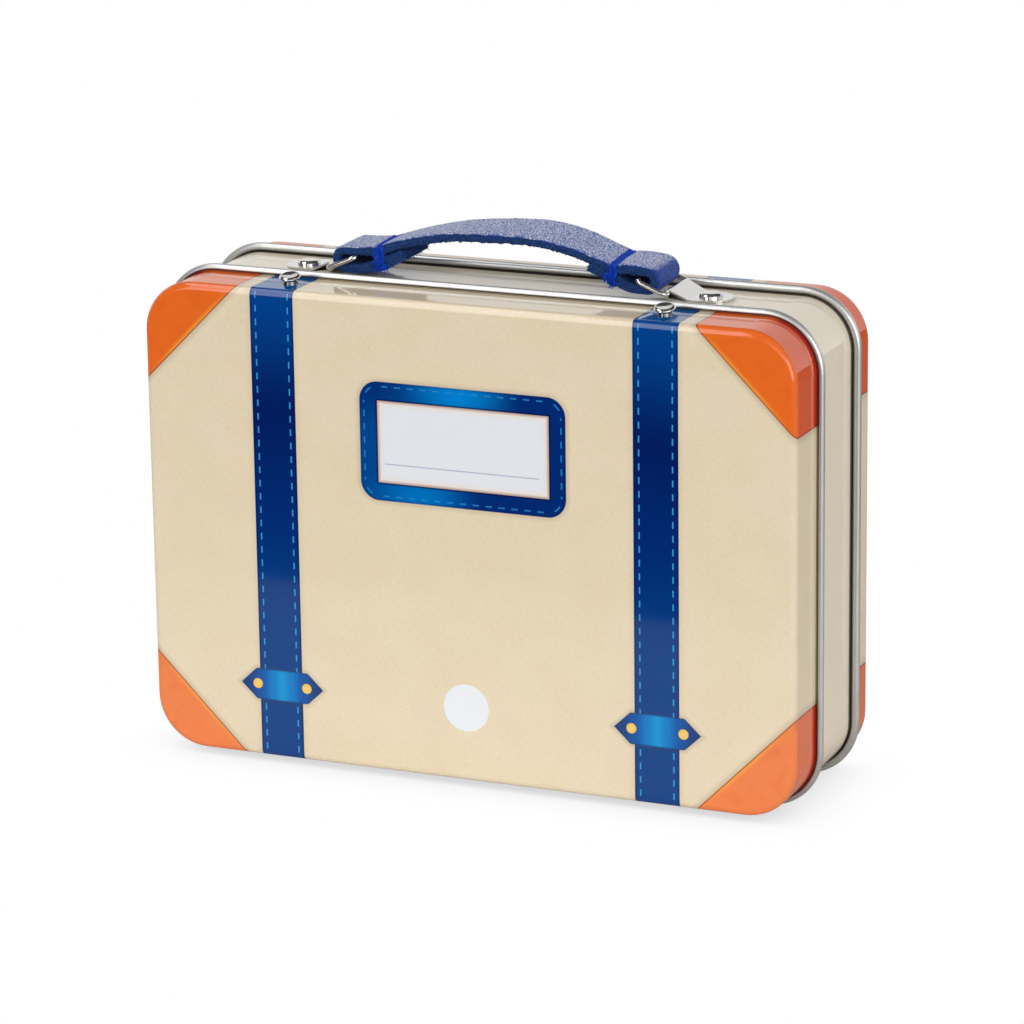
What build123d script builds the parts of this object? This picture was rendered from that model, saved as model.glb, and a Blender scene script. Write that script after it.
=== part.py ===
from build123d import *
import os
from math import acos, atan2, cos, degrees, hypot, radians, sin

# A travel dice game packed in a small tin suitcase.
# Millimetres. X runs to the right, Y to the back, Z up. The tin stands on its two rolled rims at Z = 0.

# Tin case
outer_width = 196.0
outer_height = 137.5
case_depth = 60.0
corner_radius = 15.0
sheet = 0.3
face_radius = 2.0
curl_radius = 1.15
curl_sweep = 310.0
front_depth = 18.5
rear_depth = 13.95

# Middle band
band_gap = 0.3
plug_depth = 6.0
safe_edge_radius = 1.0
safe_edge_sweep = 300.0

# Lid hinges
hinge_x = 55.0
leaf_width = 12.0
leaf_reach = 10.5
leaf_joggle = 2.9
notch_side_gap = 0.3
notch_depth = 1.5
pin_grip = 4.0
pin_clearance = 0.06
knuckle_clearance = 0.05
knuckle_sweep = 300.0
hinge_rivet_radius = 1.0
hinge_rivet_spacing = 7.0
hinge_head_radius = 1.8
hinge_head_flat = 1.1
hinge_head_height = 0.5
hinge_tail_radius = 1.6
hinge_tail_height = 0.4

# Finger knobs on the lid
left_knob_reach = 55.6
right_knob_reach = 57.15
knob_setback = 8.4
knob_height = 2.8
knob_lean = 12.0
knob_crown_radius = 2.3
knob_dish = 0.15
knob_head_radius = 3.15
knob_edge_drop = 0.55
knob_under_radius = 2.8
knob_under_drop = 0.95
knob_neck_radius = 1.65
knob_neck_drop = 1.2
knob_neck_root = 0.5
knob_collar_height = 0.9
knob_collar_radius = 1.85
knob_foot_radius = 2.1
knob_shank_radius = 1.2
knob_tail_radius = 2.2
knob_tail_height = 0.5
hole_clearance = 0.05

# Handle hardware
plate_rivet_x = 61.4
plate_end_radius = 6.3
plate_side_gap = 0.85
plate_shoulder = 2.0
plate_sheet = 0.5
plate_ply_gap = 0.12
bend_setback = 4.2
bend_radius = 3.0
fold_reach = 10.0
fold_clearance = 0.1
rivet_head_radius = 3.35
rivet_head_flat = 2.0
rivet_head_height = 1.2
rivet_edge_height = 0.5
rivet_shank_radius = 1.6
rivet_tail_radius = 2.6
rivet_tail_flat = 2.1
rivet_tail_height = 0.6
ring_wire_radius = 0.75
ring_length = 9.4
ring_side_gap = 0.25
ring_corner_radius = 1.5
ring_pivot_rise = 2.4
ring_tilt = 22.5

# Handle strap
strap_width = 16.0
strap_thickness = 2.5
arch_rise = 15.05
shoulder_x = 25.0
shoulder_drop = 2.75
loop_radius = 2.45
loop_play = 1.9
loop_drop = 0.1
neck_length = 4.6
neck_dip = 0.25
gather_length = 6.0
gather_rise = 0.9
stitch_setback = 9.1
stitch_rise = 0.8
tail_length = 7.5
tail_gap = 0.05
thread_width = 1.8
thread_height = 0.45
thread_bite = 0.4
thread_corner = 1.0
thread_tilt = 10.0

# Insert tray
tray_sheet = 0.8
tray_depth = 35.7
tray_foot_gap = 0.2
tray_draft = 1.0
rest_gap = 0.2
side_margin = 7.5
top_margin = 9.5
row_height = 15.0
row_gap = 9.0
well_wall = 1.8
cut_margin = 1.0

# Dice
die_size = 16.0
die_edge_radius = 1.8
die_count = 5
pip_radius = 1.45
pip_depth = 0.45
pip_spacing = 4.1
die_faces = {1: (0, 0, 1), 2: (0, -1, 0), 3: (1, 0, 0), 4: (-1, 0, 0), 5: (0, 1, 0), 6: (0, 0, -1)}
die_turns = {1: (90, 0, 0), 2: (0, 0, 0), 3: (0, 0, -90), 4: (0, 0, 90), 5: (0, 0, 180), 6: (-90, 0, 0)}
die_well_depth = 12.0
die_well_gap = 0.4
die_well_corner = 2.0

# Dice cup
cup_side_margin = 10.0
cup_rear_margin = 2.3
cup_end_gap = 3.0
cup_mouth_radius = 24.5
cup_base_radius = 20.5
cup_wall = 1.8
cup_floor = 2.2
cup_floor_chamfer = 1.5
cup_foot_width = 3.0
cup_foot_chamfer = 0.5
cup_foot_recess = 0.8
cup_rim_radius = 1.5
cup_rim_overhang = 0.3
cup_well_gap = 0.6
cup_band_setback = 16.0
cup_band_radius = 1.0
cup_band_sink = 0.4

# Score pad and rules
pad_side_margin = 6.5
column_gap = 10.7
pad_sheets_thickness = 4.8
pad_backing_thickness = 1.2
pad_well_gap = 1.0
pad_well_corner = 2.0
binding_width = 6.0
binding_thickness = 0.3
scoop_radius = 7.5
scoop_offset = 8.5
rules_side_margin = 3.0
rules_end_margin = 11.0
rules_sheet = 0.3
rules_fold_radius = 0.5

# Pencil
pencil_flats = 7.0
pencil_tip_length = 17.0
pencil_lead_radius = 1.1
pencil_lead_tip_radius = 0.25
pencil_chamfer = 0.3
pencil_turning_gap = 0.1
pencil_wall = 3.0
pencil_end_gap = 1.4
pencil_side_gap = 0.8
pencil_well_corner = 2.0
pencil_well_depth = 5.8
finger_scoop_width = 20.0
finger_scoop_height = 17.0
finger_scoop_corner = 6.0

# Worked out from the sizes above: the case
bottom_z = 2 * curl_radius - sheet
top_z = bottom_z + outer_height
middle_z = bottom_z + outer_height / 2
right_x = outer_width / 2
front_y = -case_depth / 2
rear_y = case_depth / 2
inner_rear_y = rear_y - sheet
curl_bore = curl_radius - sheet
curl_mid_radius = curl_radius - sheet / 2
front_rim_y = front_y + front_depth - curl_radius
rear_rim_y = rear_y - rear_depth + curl_radius
band_inset = sheet + band_gap
band_top_z = top_z - band_inset
band_bottom_z = bottom_z + band_inset
safe_edge_y = front_rim_y - plug_depth + safe_edge_radius
knob_places = (-left_knob_reach, right_knob_reach)
knob_y = front_y + knob_setback

# Worked out: the hinges
hinge_z = bottom_z - curl_bore
pin_radius = curl_bore - pin_clearance
pin_length = leaf_width + 2 * notch_side_gap + 2 * pin_grip
knuckle_bore = pin_radius + knuckle_clearance
hinge_rivet_y = front_rim_y + (leaf_joggle + leaf_reach) / 2

# Worked out: the handle
handle_y = (front_rim_y + rear_rim_y) / 2
ring_pivot_x = plate_rivet_x - fold_reach
ring_pivot_z = band_top_z + ring_pivot_rise
ring_inner_width = strap_width + 2 * ring_side_gap
ring_width = ring_inner_width + 2 * ring_wire_radius
plate_width = ring_inner_width - 2 * plate_side_gap
loop_x = ring_pivot_x - ring_length * cos(radians(ring_tilt)) + loop_play
loop_z = ring_pivot_z + ring_length * sin(radians(ring_tilt)) - loop_drop
stitch_x = loop_x - stitch_setback
stitch_z = loop_z + loop_radius + stitch_rise
tail_x = stitch_x - tail_length

# Worked out: the row of dice and the pencil
tray_face_y = inner_rear_y - tray_depth
tray_foot_inset = face_radius + tray_foot_gap
tray_face_inset = tray_foot_inset + tray_draft
row_z = bottom_z + row_height
die_pitch = die_size + 2 * die_well_gap + well_wall
die_places = [side_margin + die_size / 2 - right_x + number * die_pitch for number in range(die_count)]
die_y = tray_face_y + die_well_depth - rest_gap - die_size / 2
pencil_left_x = die_places[-1] + die_size / 2 + die_well_gap + pencil_wall + pencil_end_gap
pencil_right_x = right_x - side_margin
pencil_length = pencil_right_x - pencil_left_x
pencil_x = (pencil_left_x + pencil_right_x) / 2
pencil_y = tray_face_y + pencil_well_depth - rest_gap - pencil_flats / 2
pencil_corner_radius = pencil_flats / cos(radians(30)) / 2

# Worked out: the cup and the pad
upper_low_z = row_z + die_size / 2 + row_gap
upper_high_z = top_z - top_margin
cup_rim_middle = cup_mouth_radius - cup_wall / 2 + cup_rim_overhang
cup_x = cup_side_margin + cup_rim_middle + cup_rim_radius - right_x
cup_axis_y = inner_rear_y - cup_rear_margin - cup_rim_middle - cup_rim_radius
cup_base_z = upper_low_z + cup_end_gap
cup_height = upper_high_z - upper_low_z - 2 * cup_end_gap
pad_left_x = cup_x + cup_rim_middle + cup_rim_radius + column_gap
pad_right_x = right_x - pad_side_margin
pad_thickness = pad_sheets_thickness + pad_backing_thickness + 2 * binding_thickness
pad_well_depth = pad_thickness + rest_gap
pad_back_y = tray_face_y + pad_well_depth - rest_gap
pad_front_y = pad_back_y - pad_thickness


def polar(centre, radius, angle):
    """Point on a circle, at an angle in degrees."""
    return (centre[0] + radius * cos(radians(angle)), centre[1] + radius * sin(radians(angle)))


def arc(centre, radius, start, end):
    """Arc of a circle between two angles in degrees."""
    angles = (start, (start + end) / 2, end)
    return ThreePointArc(*[polar(centre, radius, angle) for angle in angles])


def tangent_angle(point, centre, radius, side):
    """Angle on a circle of the tangent that runs to an outside point; side is +1 or -1."""
    dx = point[0] - centre[0]
    dy = point[1] - centre[1]
    return degrees(atan2(dy, dx)) + side * degrees(acos(radius / hypot(dx, dy)))


def turned(profile):
    """Solid of revolution about Z. The profile's x is the radius and its y is the height."""
    return revolve(Plane.XZ * make_face(profile), Axis.Z, 360)


def outline(inset):
    """Rounded outline of the case, seen from the front, drawn in by an inset."""
    shape = RectangleRounded(outer_width - 2 * inset, outer_height - 2 * inset, corner_radius - inset)
    return Plane.XZ * Pos(0, middle_z) * shape


def slab(inset, y_start, y_end):
    """Flat plate of the case's rounded outline between two depths."""
    return extrude(Pos(0, y_start, 0) * outline(inset), y_start - y_end)


def block(x_range, y_range, z_range):
    """Box between two values on each axis."""
    size = [high - low for low, high in (x_range, y_range, z_range)]
    centre = [(high + low) / 2 for low, high in (x_range, y_range, z_range)]
    return Pos(*centre) * Box(*size)


def rod(radius, start, end):
    """Round rod between two points."""
    direction = Vector(*end) - Vector(*start)
    plane = Plane(origin=start, z_dir=direction)
    return extrude(plane * Circle(radius), direction.length)


def around(section):
    """Carry a wall section right round the case. Its x is outward from the outline and its y is depth."""
    straight_x = outer_width - 2 * corner_radius
    straight_z = outer_height - 2 * corner_radius
    sides = (
        ((-straight_x / 2, 0, bottom_z), (0, 0, -1), straight_x),
        ((right_x, 0, middle_z - straight_z / 2), (1, 0, 0), straight_z),
        ((straight_x / 2, 0, top_z), (0, 0, 1), straight_x),
        ((-right_x, 0, middle_z + straight_z / 2), (-1, 0, 0), straight_z),
    )
    pieces = []
    for start, outward, length in sides:
        along = Vector(*outward).cross(Vector(0, 1, 0))
        pieces.append(extrude(Plane(origin=start, x_dir=outward, z_dir=along) * section, length))
        end = Vector(*start) + along * length
        corner = Plane(origin=end, x_dir=outward, z_dir=along) * section
        axis = Axis(end - Vector(*outward) * corner_radius, (0, -1, 0))
        pieces.append(revolve(corner, axis, 90))
    return pieces


def cover(face_y, rim_y, way):
    """Drawn tin tray with a flat face and an outward rolled rim; way is +1 when it opens to the back."""
    centre_y = face_y + way * face_radius
    mid_face_radius = face_radius - sheet / 2
    start = -90 * way
    wall_line = [
        arc((-face_radius, centre_y), mid_face_radius, start, 0),
        Line((-sheet / 2, centre_y), (-sheet / 2, rim_y)),
        arc((curl_bore, rim_y), curl_mid_radius, 180, 180 - way * curl_sweep),
    ]
    wall = around(trace(wall_line, sheet))
    face = slab(face_radius, face_y, face_y + way * sheet)
    return face.fuse(*wall).clean()


def front_cover():
    """Lid of the tin, with holes for its knobs and a notch in the rolled rim for each hinge."""
    lid = cover(front_y, front_rim_y, 1)
    for x in knob_places:
        ends = [(x, knob_y, z) for z in (top_z - 2 * sheet, top_z + sheet)]
        lid -= rod(knob_shank_radius + hole_clearance, *ends)
    notch_half = leaf_width / 2 + notch_side_gap
    for x in (-hinge_x, hinge_x):
        notch = block(
            (x - notch_half, x + notch_half),
            (front_rim_y - notch_depth, front_rim_y + 2 * curl_radius),
            (-sheet, bottom_z + 2 * sheet),
        )
        lid -= notch
    return lid


def rear_cover():
    """Back tray of the tin, pressed over the middle band."""
    return cover(rear_y, rear_rim_y, -1)


def middle_band():
    """Plain hoop that joins the two covers, with a safe inward rolled edge where the lid slides over it."""
    wall_inset = -band_inset - sheet / 2
    edge_centre = (-band_inset - safe_edge_radius, safe_edge_y)
    band_line = [
        Line((wall_inset, rear_y - face_radius), (wall_inset, safe_edge_y)),
        arc(edge_centre, safe_edge_radius - sheet / 2, 0, -safe_edge_sweep),
    ]
    sections = around(trace(band_line, sheet))
    band = sections[0].fuse(*sections[1:]).clean()
    for side in (-1, 1):
        ends = [(side * plate_rivet_x, handle_y, z) for z in (band_top_z - 2 * sheet, top_z)]
        band -= rod(rivet_shank_radius + hole_clearance, *ends)
        for rivet_x in hinge_rivet_places(side):
            low = (rivet_x, hinge_rivet_y, bottom_z)
            high = (rivet_x, hinge_rivet_y, band_bottom_z + 2 * sheet)
            band -= rod(hinge_rivet_radius + hole_clearance, low, high)
    return band


def hinge_rivet_places(side):
    """X places of the two rivets of one hinge."""
    return [side * hinge_x + step * hinge_rivet_spacing / 2 for step in (-1, 1)]


def hinge_leaf(side):
    """Leaf of one hinge: a flat foot under the band and a knuckle rolled round the pin."""
    centre = (front_rim_y, hinge_z)
    foot_z = band_bottom_z - sheet / 2
    roll_radius = knuckle_bore + sheet / 2
    bend = (front_rim_y + leaf_joggle, foot_z)
    start = tangent_angle(bend, centre, roll_radius, 1)
    leaf_line = [
        Line((front_rim_y + leaf_reach, foot_z), bend),
        Line(bend, polar(centre, roll_radius, start)),
        arc(centre, roll_radius, start, start + knuckle_sweep),
    ]
    section = Plane.YZ * trace(leaf_line, sheet)
    leaf = extrude(Pos(side * hinge_x - leaf_width / 2, 0, 0) * section, leaf_width)
    for rivet_x in hinge_rivet_places(side):
        low = (rivet_x, hinge_rivet_y, bottom_z - sheet)
        high = (rivet_x, hinge_rivet_y, band_bottom_z + sheet)
        leaf -= rod(hinge_rivet_radius + hole_clearance, low, high)
    return leaf


def hinge_pin(side):
    """Wire pin, pinched inside the lid's rolled rim at both sides of the notch."""
    ends = [(side * hinge_x + reach, front_rim_y, hinge_z) for reach in (-pin_length / 2, pin_length / 2)]
    return rod(pin_radius, *ends)


def hinge_rivets():
    """Four small rivets that hold the two hinge leaves under the band."""
    outside_z = band_bottom_z - sheet
    inside_z = band_bottom_z + sheet
    profile = Polyline(
        (0, outside_z - hinge_head_height),
        (hinge_head_flat, outside_z - hinge_head_height),
        (hinge_head_radius, outside_z),
        (hinge_rivet_radius, outside_z),
        (hinge_rivet_radius, inside_z),
        (hinge_tail_radius, inside_z),
        (hinge_head_flat, inside_z + hinge_tail_height),
        (0, inside_z + hinge_tail_height),
        close=True,
    )
    places = hinge_rivet_places(-1) + hinge_rivet_places(1)
    return Compound([Pos(x, hinge_rivet_y, 0) * turned(profile) for x in places])


def knob(x):
    """Mushroom knob riveted through the lid's top wall. Its head leans towards the thumb that pulls it."""
    return Pos(x, knob_y, top_z) * (knob_foot() + knob_head())


def knob_foot():
    """Collar on the wall, the shank through it and the riveted tail inside."""
    inside_z = -sheet
    tail_z = inside_z - knob_tail_height
    profile = [
        Polyline((0, knob_collar_height), (knob_collar_radius, knob_collar_height), (knob_foot_radius, 0)),
        Polyline((knob_foot_radius, 0), (knob_shank_radius, 0), (knob_shank_radius, inside_z)),
        Polyline((knob_shank_radius, inside_z), (knob_tail_radius, inside_z), (knob_neck_radius, tail_z)),
        Polyline((knob_neck_radius, tail_z), (0, tail_z), (0, knob_collar_height)),
    ]
    return turned(profile)


def knob_head():
    """Round head with a slight dish, on a neck that is rooted in the collar."""
    crown_z = knob_height - knob_collar_height
    crown_edge = (knob_crown_radius, crown_z)
    widest = (knob_head_radius, crown_z - knob_edge_drop)
    under = (knob_under_radius, crown_z - knob_under_drop)
    neck = (knob_neck_radius, crown_z - knob_neck_drop)
    profile = [
        Line((0, crown_z - knob_dish), crown_edge),
        TangentArc(crown_edge, widest, tangent=(1, 0)),
        Polyline(widest, under, neck, (knob_neck_radius, -knob_neck_root), (0, -knob_neck_root)),
        Line((0, -knob_neck_root), (0, crown_z - knob_dish)),
    ]
    return Pos(0, 0, knob_collar_height) * Rot(knob_lean, 0, 0) * turned(profile)


def mirrored(shape, side):
    """The shape as made for the right side, or its mirror image for the left."""
    return shape if side > 0 else mirror(shape, Plane.YZ)


def plate_section(fold_radius):
    """Folded sheet of a handle plate, seen from the front: two plies, open at the fold for the ring."""
    pivot = (ring_pivot_x, ring_pivot_z)
    lower_z = band_top_z + plate_sheet / 2
    upper_z = lower_z + plate_sheet + plate_ply_gap
    tip_x = plate_rivet_x + plate_end_radius + cut_margin
    bend_x = plate_rivet_x - bend_setback
    upper_angle = tangent_angle((bend_x, upper_z), pivot, fold_radius, 1)
    lower_angle = tangent_angle((bend_x, lower_z), pivot, fold_radius, -1)
    upper_touch = polar(pivot, fold_radius, upper_angle)
    lower_touch = polar(pivot, fold_radius, lower_angle)
    plate_line = [
        FilletPolyline((tip_x, upper_z), (bend_x, upper_z), upper_touch, radius=bend_radius),
        arc(pivot, fold_radius, upper_angle, 360 + lower_angle),
        FilletPolyline(lower_touch, (bend_x, lower_z), (tip_x, lower_z), radius=bend_radius),
    ]
    return trace(plate_line, plate_sheet)


def plate_outline(fold_x):
    """Outline of a handle plate, seen from above: wide at the fold and round at the rivet."""
    half = plate_width / 2
    shoulder = (fold_x + plate_shoulder, half)
    touch_angle = tangent_angle(shoulder, (plate_rivet_x, 0), plate_end_radius, -1)
    touch = polar((plate_rivet_x, 0), plate_end_radius, touch_angle)
    other_touch = (touch[0], -touch[1])
    tip = (plate_rivet_x + plate_end_radius, 0)
    edge = [
        Polyline(touch, shoulder, (fold_x, half), (fold_x, -half), (shoulder[0], -half), other_touch),
        ThreePointArc(other_touch, tip, touch),
    ]
    return make_face(edge)


def handle_plate(side):
    """Folded sheet plate, riveted to the band, that holds the ring's outer bar in its fold."""
    fold_radius = ring_wire_radius + fold_clearance + plate_sheet / 2
    fold_x = ring_pivot_x - fold_radius - plate_sheet
    low_z = band_top_z - cut_margin
    high_z = ring_pivot_z + fold_radius + cut_margin
    section = Plane.XZ * plate_section(fold_radius)
    bent = extrude(Pos(0, handle_y, 0) * section, plate_width / 2, both=True)
    plate = bent & extrude(Pos(0, handle_y, low_z) * plate_outline(fold_x), high_z - low_z)
    ends = [(plate_rivet_x, handle_y, z) for z in (low_z, high_z)]
    plate -= rod(rivet_shank_radius + hole_clearance, *ends)
    return mirrored(plate, side)


def handle_rivets():
    """Two round-headed rivets that hold the plates on the band."""
    head_z = band_top_z + 2 * plate_sheet + plate_ply_gap
    head_top_z = head_z + rivet_head_height
    head_edge = (rivet_head_radius, head_z + rivet_edge_height)
    inside_z = band_top_z - sheet
    tail_z = inside_z - rivet_tail_height
    profile = [
        Line((0, head_top_z), (rivet_head_flat, head_top_z)),
        TangentArc((rivet_head_flat, head_top_z), head_edge, tangent=(1, 0)),
        Polyline(head_edge, (rivet_head_radius, head_z), (rivet_shank_radius, head_z)),
        Line((rivet_shank_radius, head_z), (rivet_shank_radius, inside_z)),
        Polyline((rivet_shank_radius, inside_z), (rivet_tail_radius, inside_z), (rivet_tail_flat, tail_z)),
        Polyline((rivet_tail_flat, tail_z), (0, tail_z), (0, head_top_z)),
    ]
    return Compound([Pos(side * plate_rivet_x, handle_y, 0) * turned(profile) for side in (-1, 1)])


def ring(side):
    """Rectangular wire ring with rounded corners: one bar in the plate's fold, one in the strap's loop."""
    tilt = radians(ring_tilt)
    inward = Vector(-cos(tilt), 0, sin(tilt))
    normal = inward.cross(Vector(0, 1, 0))
    pivot = Vector(ring_pivot_x, handle_y, ring_pivot_z)
    plane = Plane(origin=pivot + inward * (ring_length / 2), x_dir=inward, z_dir=normal)
    path = plane * RectangleRounded(ring_length, ring_width, ring_corner_radius).wire()
    section = Plane(origin=path.position_at(0), z_dir=path.tangent_at(0)) * Circle(ring_wire_radius)
    return mirrored(sweep(section, path), side)


def strap_path():
    """Middle line of the leather's right half: the arch on top, and the end folded under."""
    apex_z = band_top_z + arch_rise
    shoulder_z = apex_z - shoulder_drop
    slope = (shoulder_z - stitch_z) / (stitch_x - shoulder_x)
    tail_z = shoulder_z - slope * (tail_x - shoulder_x) - strap_thickness - tail_gap
    over = [
        (0, apex_z),
        (shoulder_x / 2, apex_z - shoulder_drop / 4),
        (shoulder_x, shoulder_z),
        (stitch_x, stitch_z),
        (loop_x - neck_length, stitch_z - neck_dip),
        (loop_x, loop_z + loop_radius),
    ]
    under = [
        (loop_x, loop_z - loop_radius),
        (loop_x - gather_length, loop_z - loop_radius + gather_rise),
        (stitch_x, stitch_z - strap_thickness),
        (tail_x, tail_z),
    ]
    return over, under, slope


def handle_strap():
    """One leather strap, with a loop round each ring and its ends folded under and stitched down."""
    over, under, slope = strap_path()
    half_section = trace(Spline(*over, tangents=((1, 0), (1, 0))), strap_thickness)
    half_section += trace(arc((loop_x, loop_z), loop_radius, 90, -90), strap_thickness)
    half_section += trace(Spline(*under, tangents=((-1, 0), (-1, slope))), strap_thickness)
    half = extrude(Plane.XZ * half_section, strap_width / 2, both=True)
    return Pos(0, handle_y, 0) * (half + mirrored(half, -1))


def thread_ring(side):
    """Thread wound round both plies where the end of the strap is stitched down."""
    height = 2 * strap_thickness - thread_bite
    width = strap_width - thread_bite
    tilted = Plane(
        origin=(stitch_x, handle_y, stitch_z - strap_thickness / 2),
        x_dir=(0, 1, 0),
        z_dir=(cos(radians(thread_tilt)), 0, -sin(radians(thread_tilt))),
    )
    outer = RectangleRounded(width + 2 * thread_height, height + 2 * thread_height, thread_corner)
    inner = RectangleRounded(width, height, thread_corner - thread_height)
    return mirrored(extrude(tilted * (outer - inner), thread_width / 2, both=True), side)


def strap_stitching():
    """The two bands of thread, one at each end of the strap."""
    return Compound([thread_ring(side) for side in (-1, 1)])


def pocket(shape, depth, grow):
    """Space of a pocket that opens at the tray's face; grow adds the tray's own sheet behind it."""
    mouth_y = tray_face_y if grow else tray_face_y - cut_margin
    floor_y = tray_face_y + depth + grow
    section = Plane.XZ * shape
    return extrude(Pos(0, floor_y, 0) * section, floor_y - mouth_y)


def rounded_pocket(centre, size, corner, depth, grow):
    """Pocket with a rounded rectangular outline."""
    shape = RectangleRounded(size[0] + 2 * grow, size[1] + 2 * grow, corner + grow)
    return pocket(Pos(*centre) * shape, depth, grow)


def cup_pocket(grow):
    """Space for the cup on its side: half a cone behind its axis and straight walls in front of it."""
    base = cup_base_radius + cup_well_gap + grow
    mouth = cup_mouth_radius + cup_rim_radius + cup_well_gap + grow
    low_z = cup_base_z - cup_well_gap - grow
    high_z = cup_base_z + cup_height + cup_well_gap + grow
    half_profile = Polyline((0, low_z), (base, low_z), (mouth, high_z), (0, high_z), close=True)
    side_view = Polyline((-base, low_z), (base, low_z), (mouth, high_z), (-mouth, high_z), close=True)
    mouth_y = tray_face_y if grow else tray_face_y - cut_margin
    straight = extrude(Plane.XZ * make_face(side_view), cup_axis_y - mouth_y)
    space = Pos(cup_x, cup_axis_y, 0) * (turned(half_profile) + straight)
    return space - block((-outer_width, outer_width), (-case_depth, mouth_y), (0, 2 * outer_height))


def tray_pockets(grow):
    """Every pocket of the tray."""
    spaces = [cup_pocket(grow)]
    die_space = (die_size + 2 * die_well_gap, die_size + 2 * die_well_gap)
    for x in die_places:
        spaces.append(rounded_pocket((x, row_z), die_space, die_well_corner, die_well_depth, grow))
    row = (pencil_x, row_z)
    pencil_space = (pencil_length + 2 * pencil_end_gap, pencil_flats + 2 * pencil_side_gap)
    finger_space = (finger_scoop_width, finger_scoop_height)
    spaces.append(rounded_pocket(row, pencil_space, pencil_well_corner, pencil_well_depth, grow))
    spaces.append(rounded_pocket(row, finger_space, finger_scoop_corner, pencil_well_depth, grow))
    middle = ((pad_left_x + pad_right_x) / 2, (upper_low_z + upper_high_z) / 2)
    pad_space = (pad_right_x - pad_left_x + 2 * pad_well_gap, upper_high_z - upper_low_z + 2 * pad_well_gap)
    spaces.append(rounded_pocket(middle, pad_space, pad_well_corner, pad_well_depth, grow))
    scoop_place = Pos(middle[0] - scoop_offset, upper_low_z - pad_well_gap) * Rot(0, 0, 90)
    spaces.append(pocket(scoop_place * Circle(scoop_radius + grow), pad_well_depth, grow))
    return spaces


def tray_body(inset, y_start):
    """Drafted block of the tray between its face and its foot."""
    front = Pos(0, y_start, 0) * outline(tray_face_inset + inset)
    back = Pos(0, inner_rear_y, 0) * outline(tray_foot_inset + inset)
    return loft([front, back])


def insert_tray():
    """Formed plastic tray with a pocket for each loose piece."""
    tray = tray_body(0, tray_face_y) - tray_body(tray_sheet, tray_face_y + tray_sheet)
    return tray.fuse(*tray_pockets(tray_sheet)).cut(*tray_pockets(0))


def pip_spots(value):
    """Places of the pips on one face of a die, counted in steps of their spacing."""
    spots = [(0, 0)] if value % 2 else []
    if value > 1:
        spots += [(-1, 1), (1, -1)]
    if value > 3:
        spots += [(-1, -1), (1, 1)]
    if value > 5:
        spots += [(0, -1), (0, 1)]
    return spots


def pip_balls(value, outward):
    """Balls that cut the pips into the face on that side of a die."""
    ball_radius = (pip_radius ** 2 + pip_depth ** 2) / (2 * pip_depth)
    face = Plane(origin=Vector(*outward) * (die_size / 2), z_dir=outward)
    balls = []
    for across, up in pip_spots(value):
        ball = Pos(across * pip_spacing, up * pip_spacing, ball_radius - pip_depth) * Sphere(ball_radius)
        balls.append(face * ball)
    return balls


def die(x, shown):
    """Die with rounded edges and hollow pips, turned so that one value shows at the front."""
    cube = Box(die_size, die_size, die_size)
    body = fillet(cube.edges(), die_edge_radius)
    for value, outward in die_faces.items():
        body = body.cut(*pip_balls(value, outward))
    return Pos(x, die_y, row_z) * Rot(*die_turns[shown]) * body


def cup_band(height):
    """Raised ring round the cup at a height above its base."""
    slope = (cup_mouth_radius - cup_base_radius) / (cup_height - cup_rim_radius)
    radius = cup_base_radius + slope * height - cup_band_sink
    return Pos(0, 0, cup_base_z + height) * Torus(radius, cup_band_radius)


def dice_cup():
    """Moulded dice cup with a rolled rim, two raised bands and a recessed foot."""
    rim_z = cup_base_z + cup_height - cup_rim_radius
    inner_base = cup_base_radius - cup_wall
    inner_mouth = cup_mouth_radius - cup_wall
    foot = cup_base_radius - cup_foot_chamfer - cup_foot_width
    floor_z = cup_base_z + cup_floor
    outside = [
        (0, cup_base_z + cup_foot_recess),
        (foot, cup_base_z + cup_foot_recess),
        (foot, cup_base_z),
        (cup_base_radius - cup_foot_chamfer, cup_base_z),
        (cup_base_radius, cup_base_z + cup_foot_chamfer),
        (cup_mouth_radius, rim_z),
    ]
    inside = [
        (inner_mouth, rim_z),
        (inner_base, floor_z + cup_floor_chamfer),
        (inner_base - cup_floor_chamfer, floor_z),
        (0, floor_z),
    ]
    room = Polyline(*inside, (0, rim_z), close=True)
    bands = cup_band(cup_band_setback) + cup_band(cup_height - cup_band_setback)
    cup = turned(Polyline(*outside, *inside, close=True)) + (bands - turned(room))
    rim = Pos(0, 0, rim_z) * Torus(cup_rim_middle, cup_rim_radius)
    return Pos(cup_x, cup_axis_y, 0) * (cup + rim)


def pad_layer(back_y, thickness):
    """One layer of the score pad."""
    return block((pad_left_x, pad_right_x), (back_y - thickness, back_y), (upper_low_z, upper_high_z))


def pad_backing():
    """Stiff card behind the score sheets."""
    return pad_layer(pad_back_y - binding_thickness, pad_backing_thickness)


def pad_sheets():
    """Block of score sheets."""
    return pad_layer(pad_back_y - binding_thickness - pad_backing_thickness, pad_sheets_thickness)


def pad_binding():
    """Tape folded round the glued edge of the pad."""
    height = (upper_low_z, upper_high_z)
    bound_x = pad_left_x + binding_width
    tape = block((pad_left_x - binding_thickness, bound_x), (pad_front_y, pad_back_y), height)
    held = (pad_front_y + binding_thickness, pad_back_y - binding_thickness)
    return tape - block((pad_left_x, bound_x), held, height)


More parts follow.
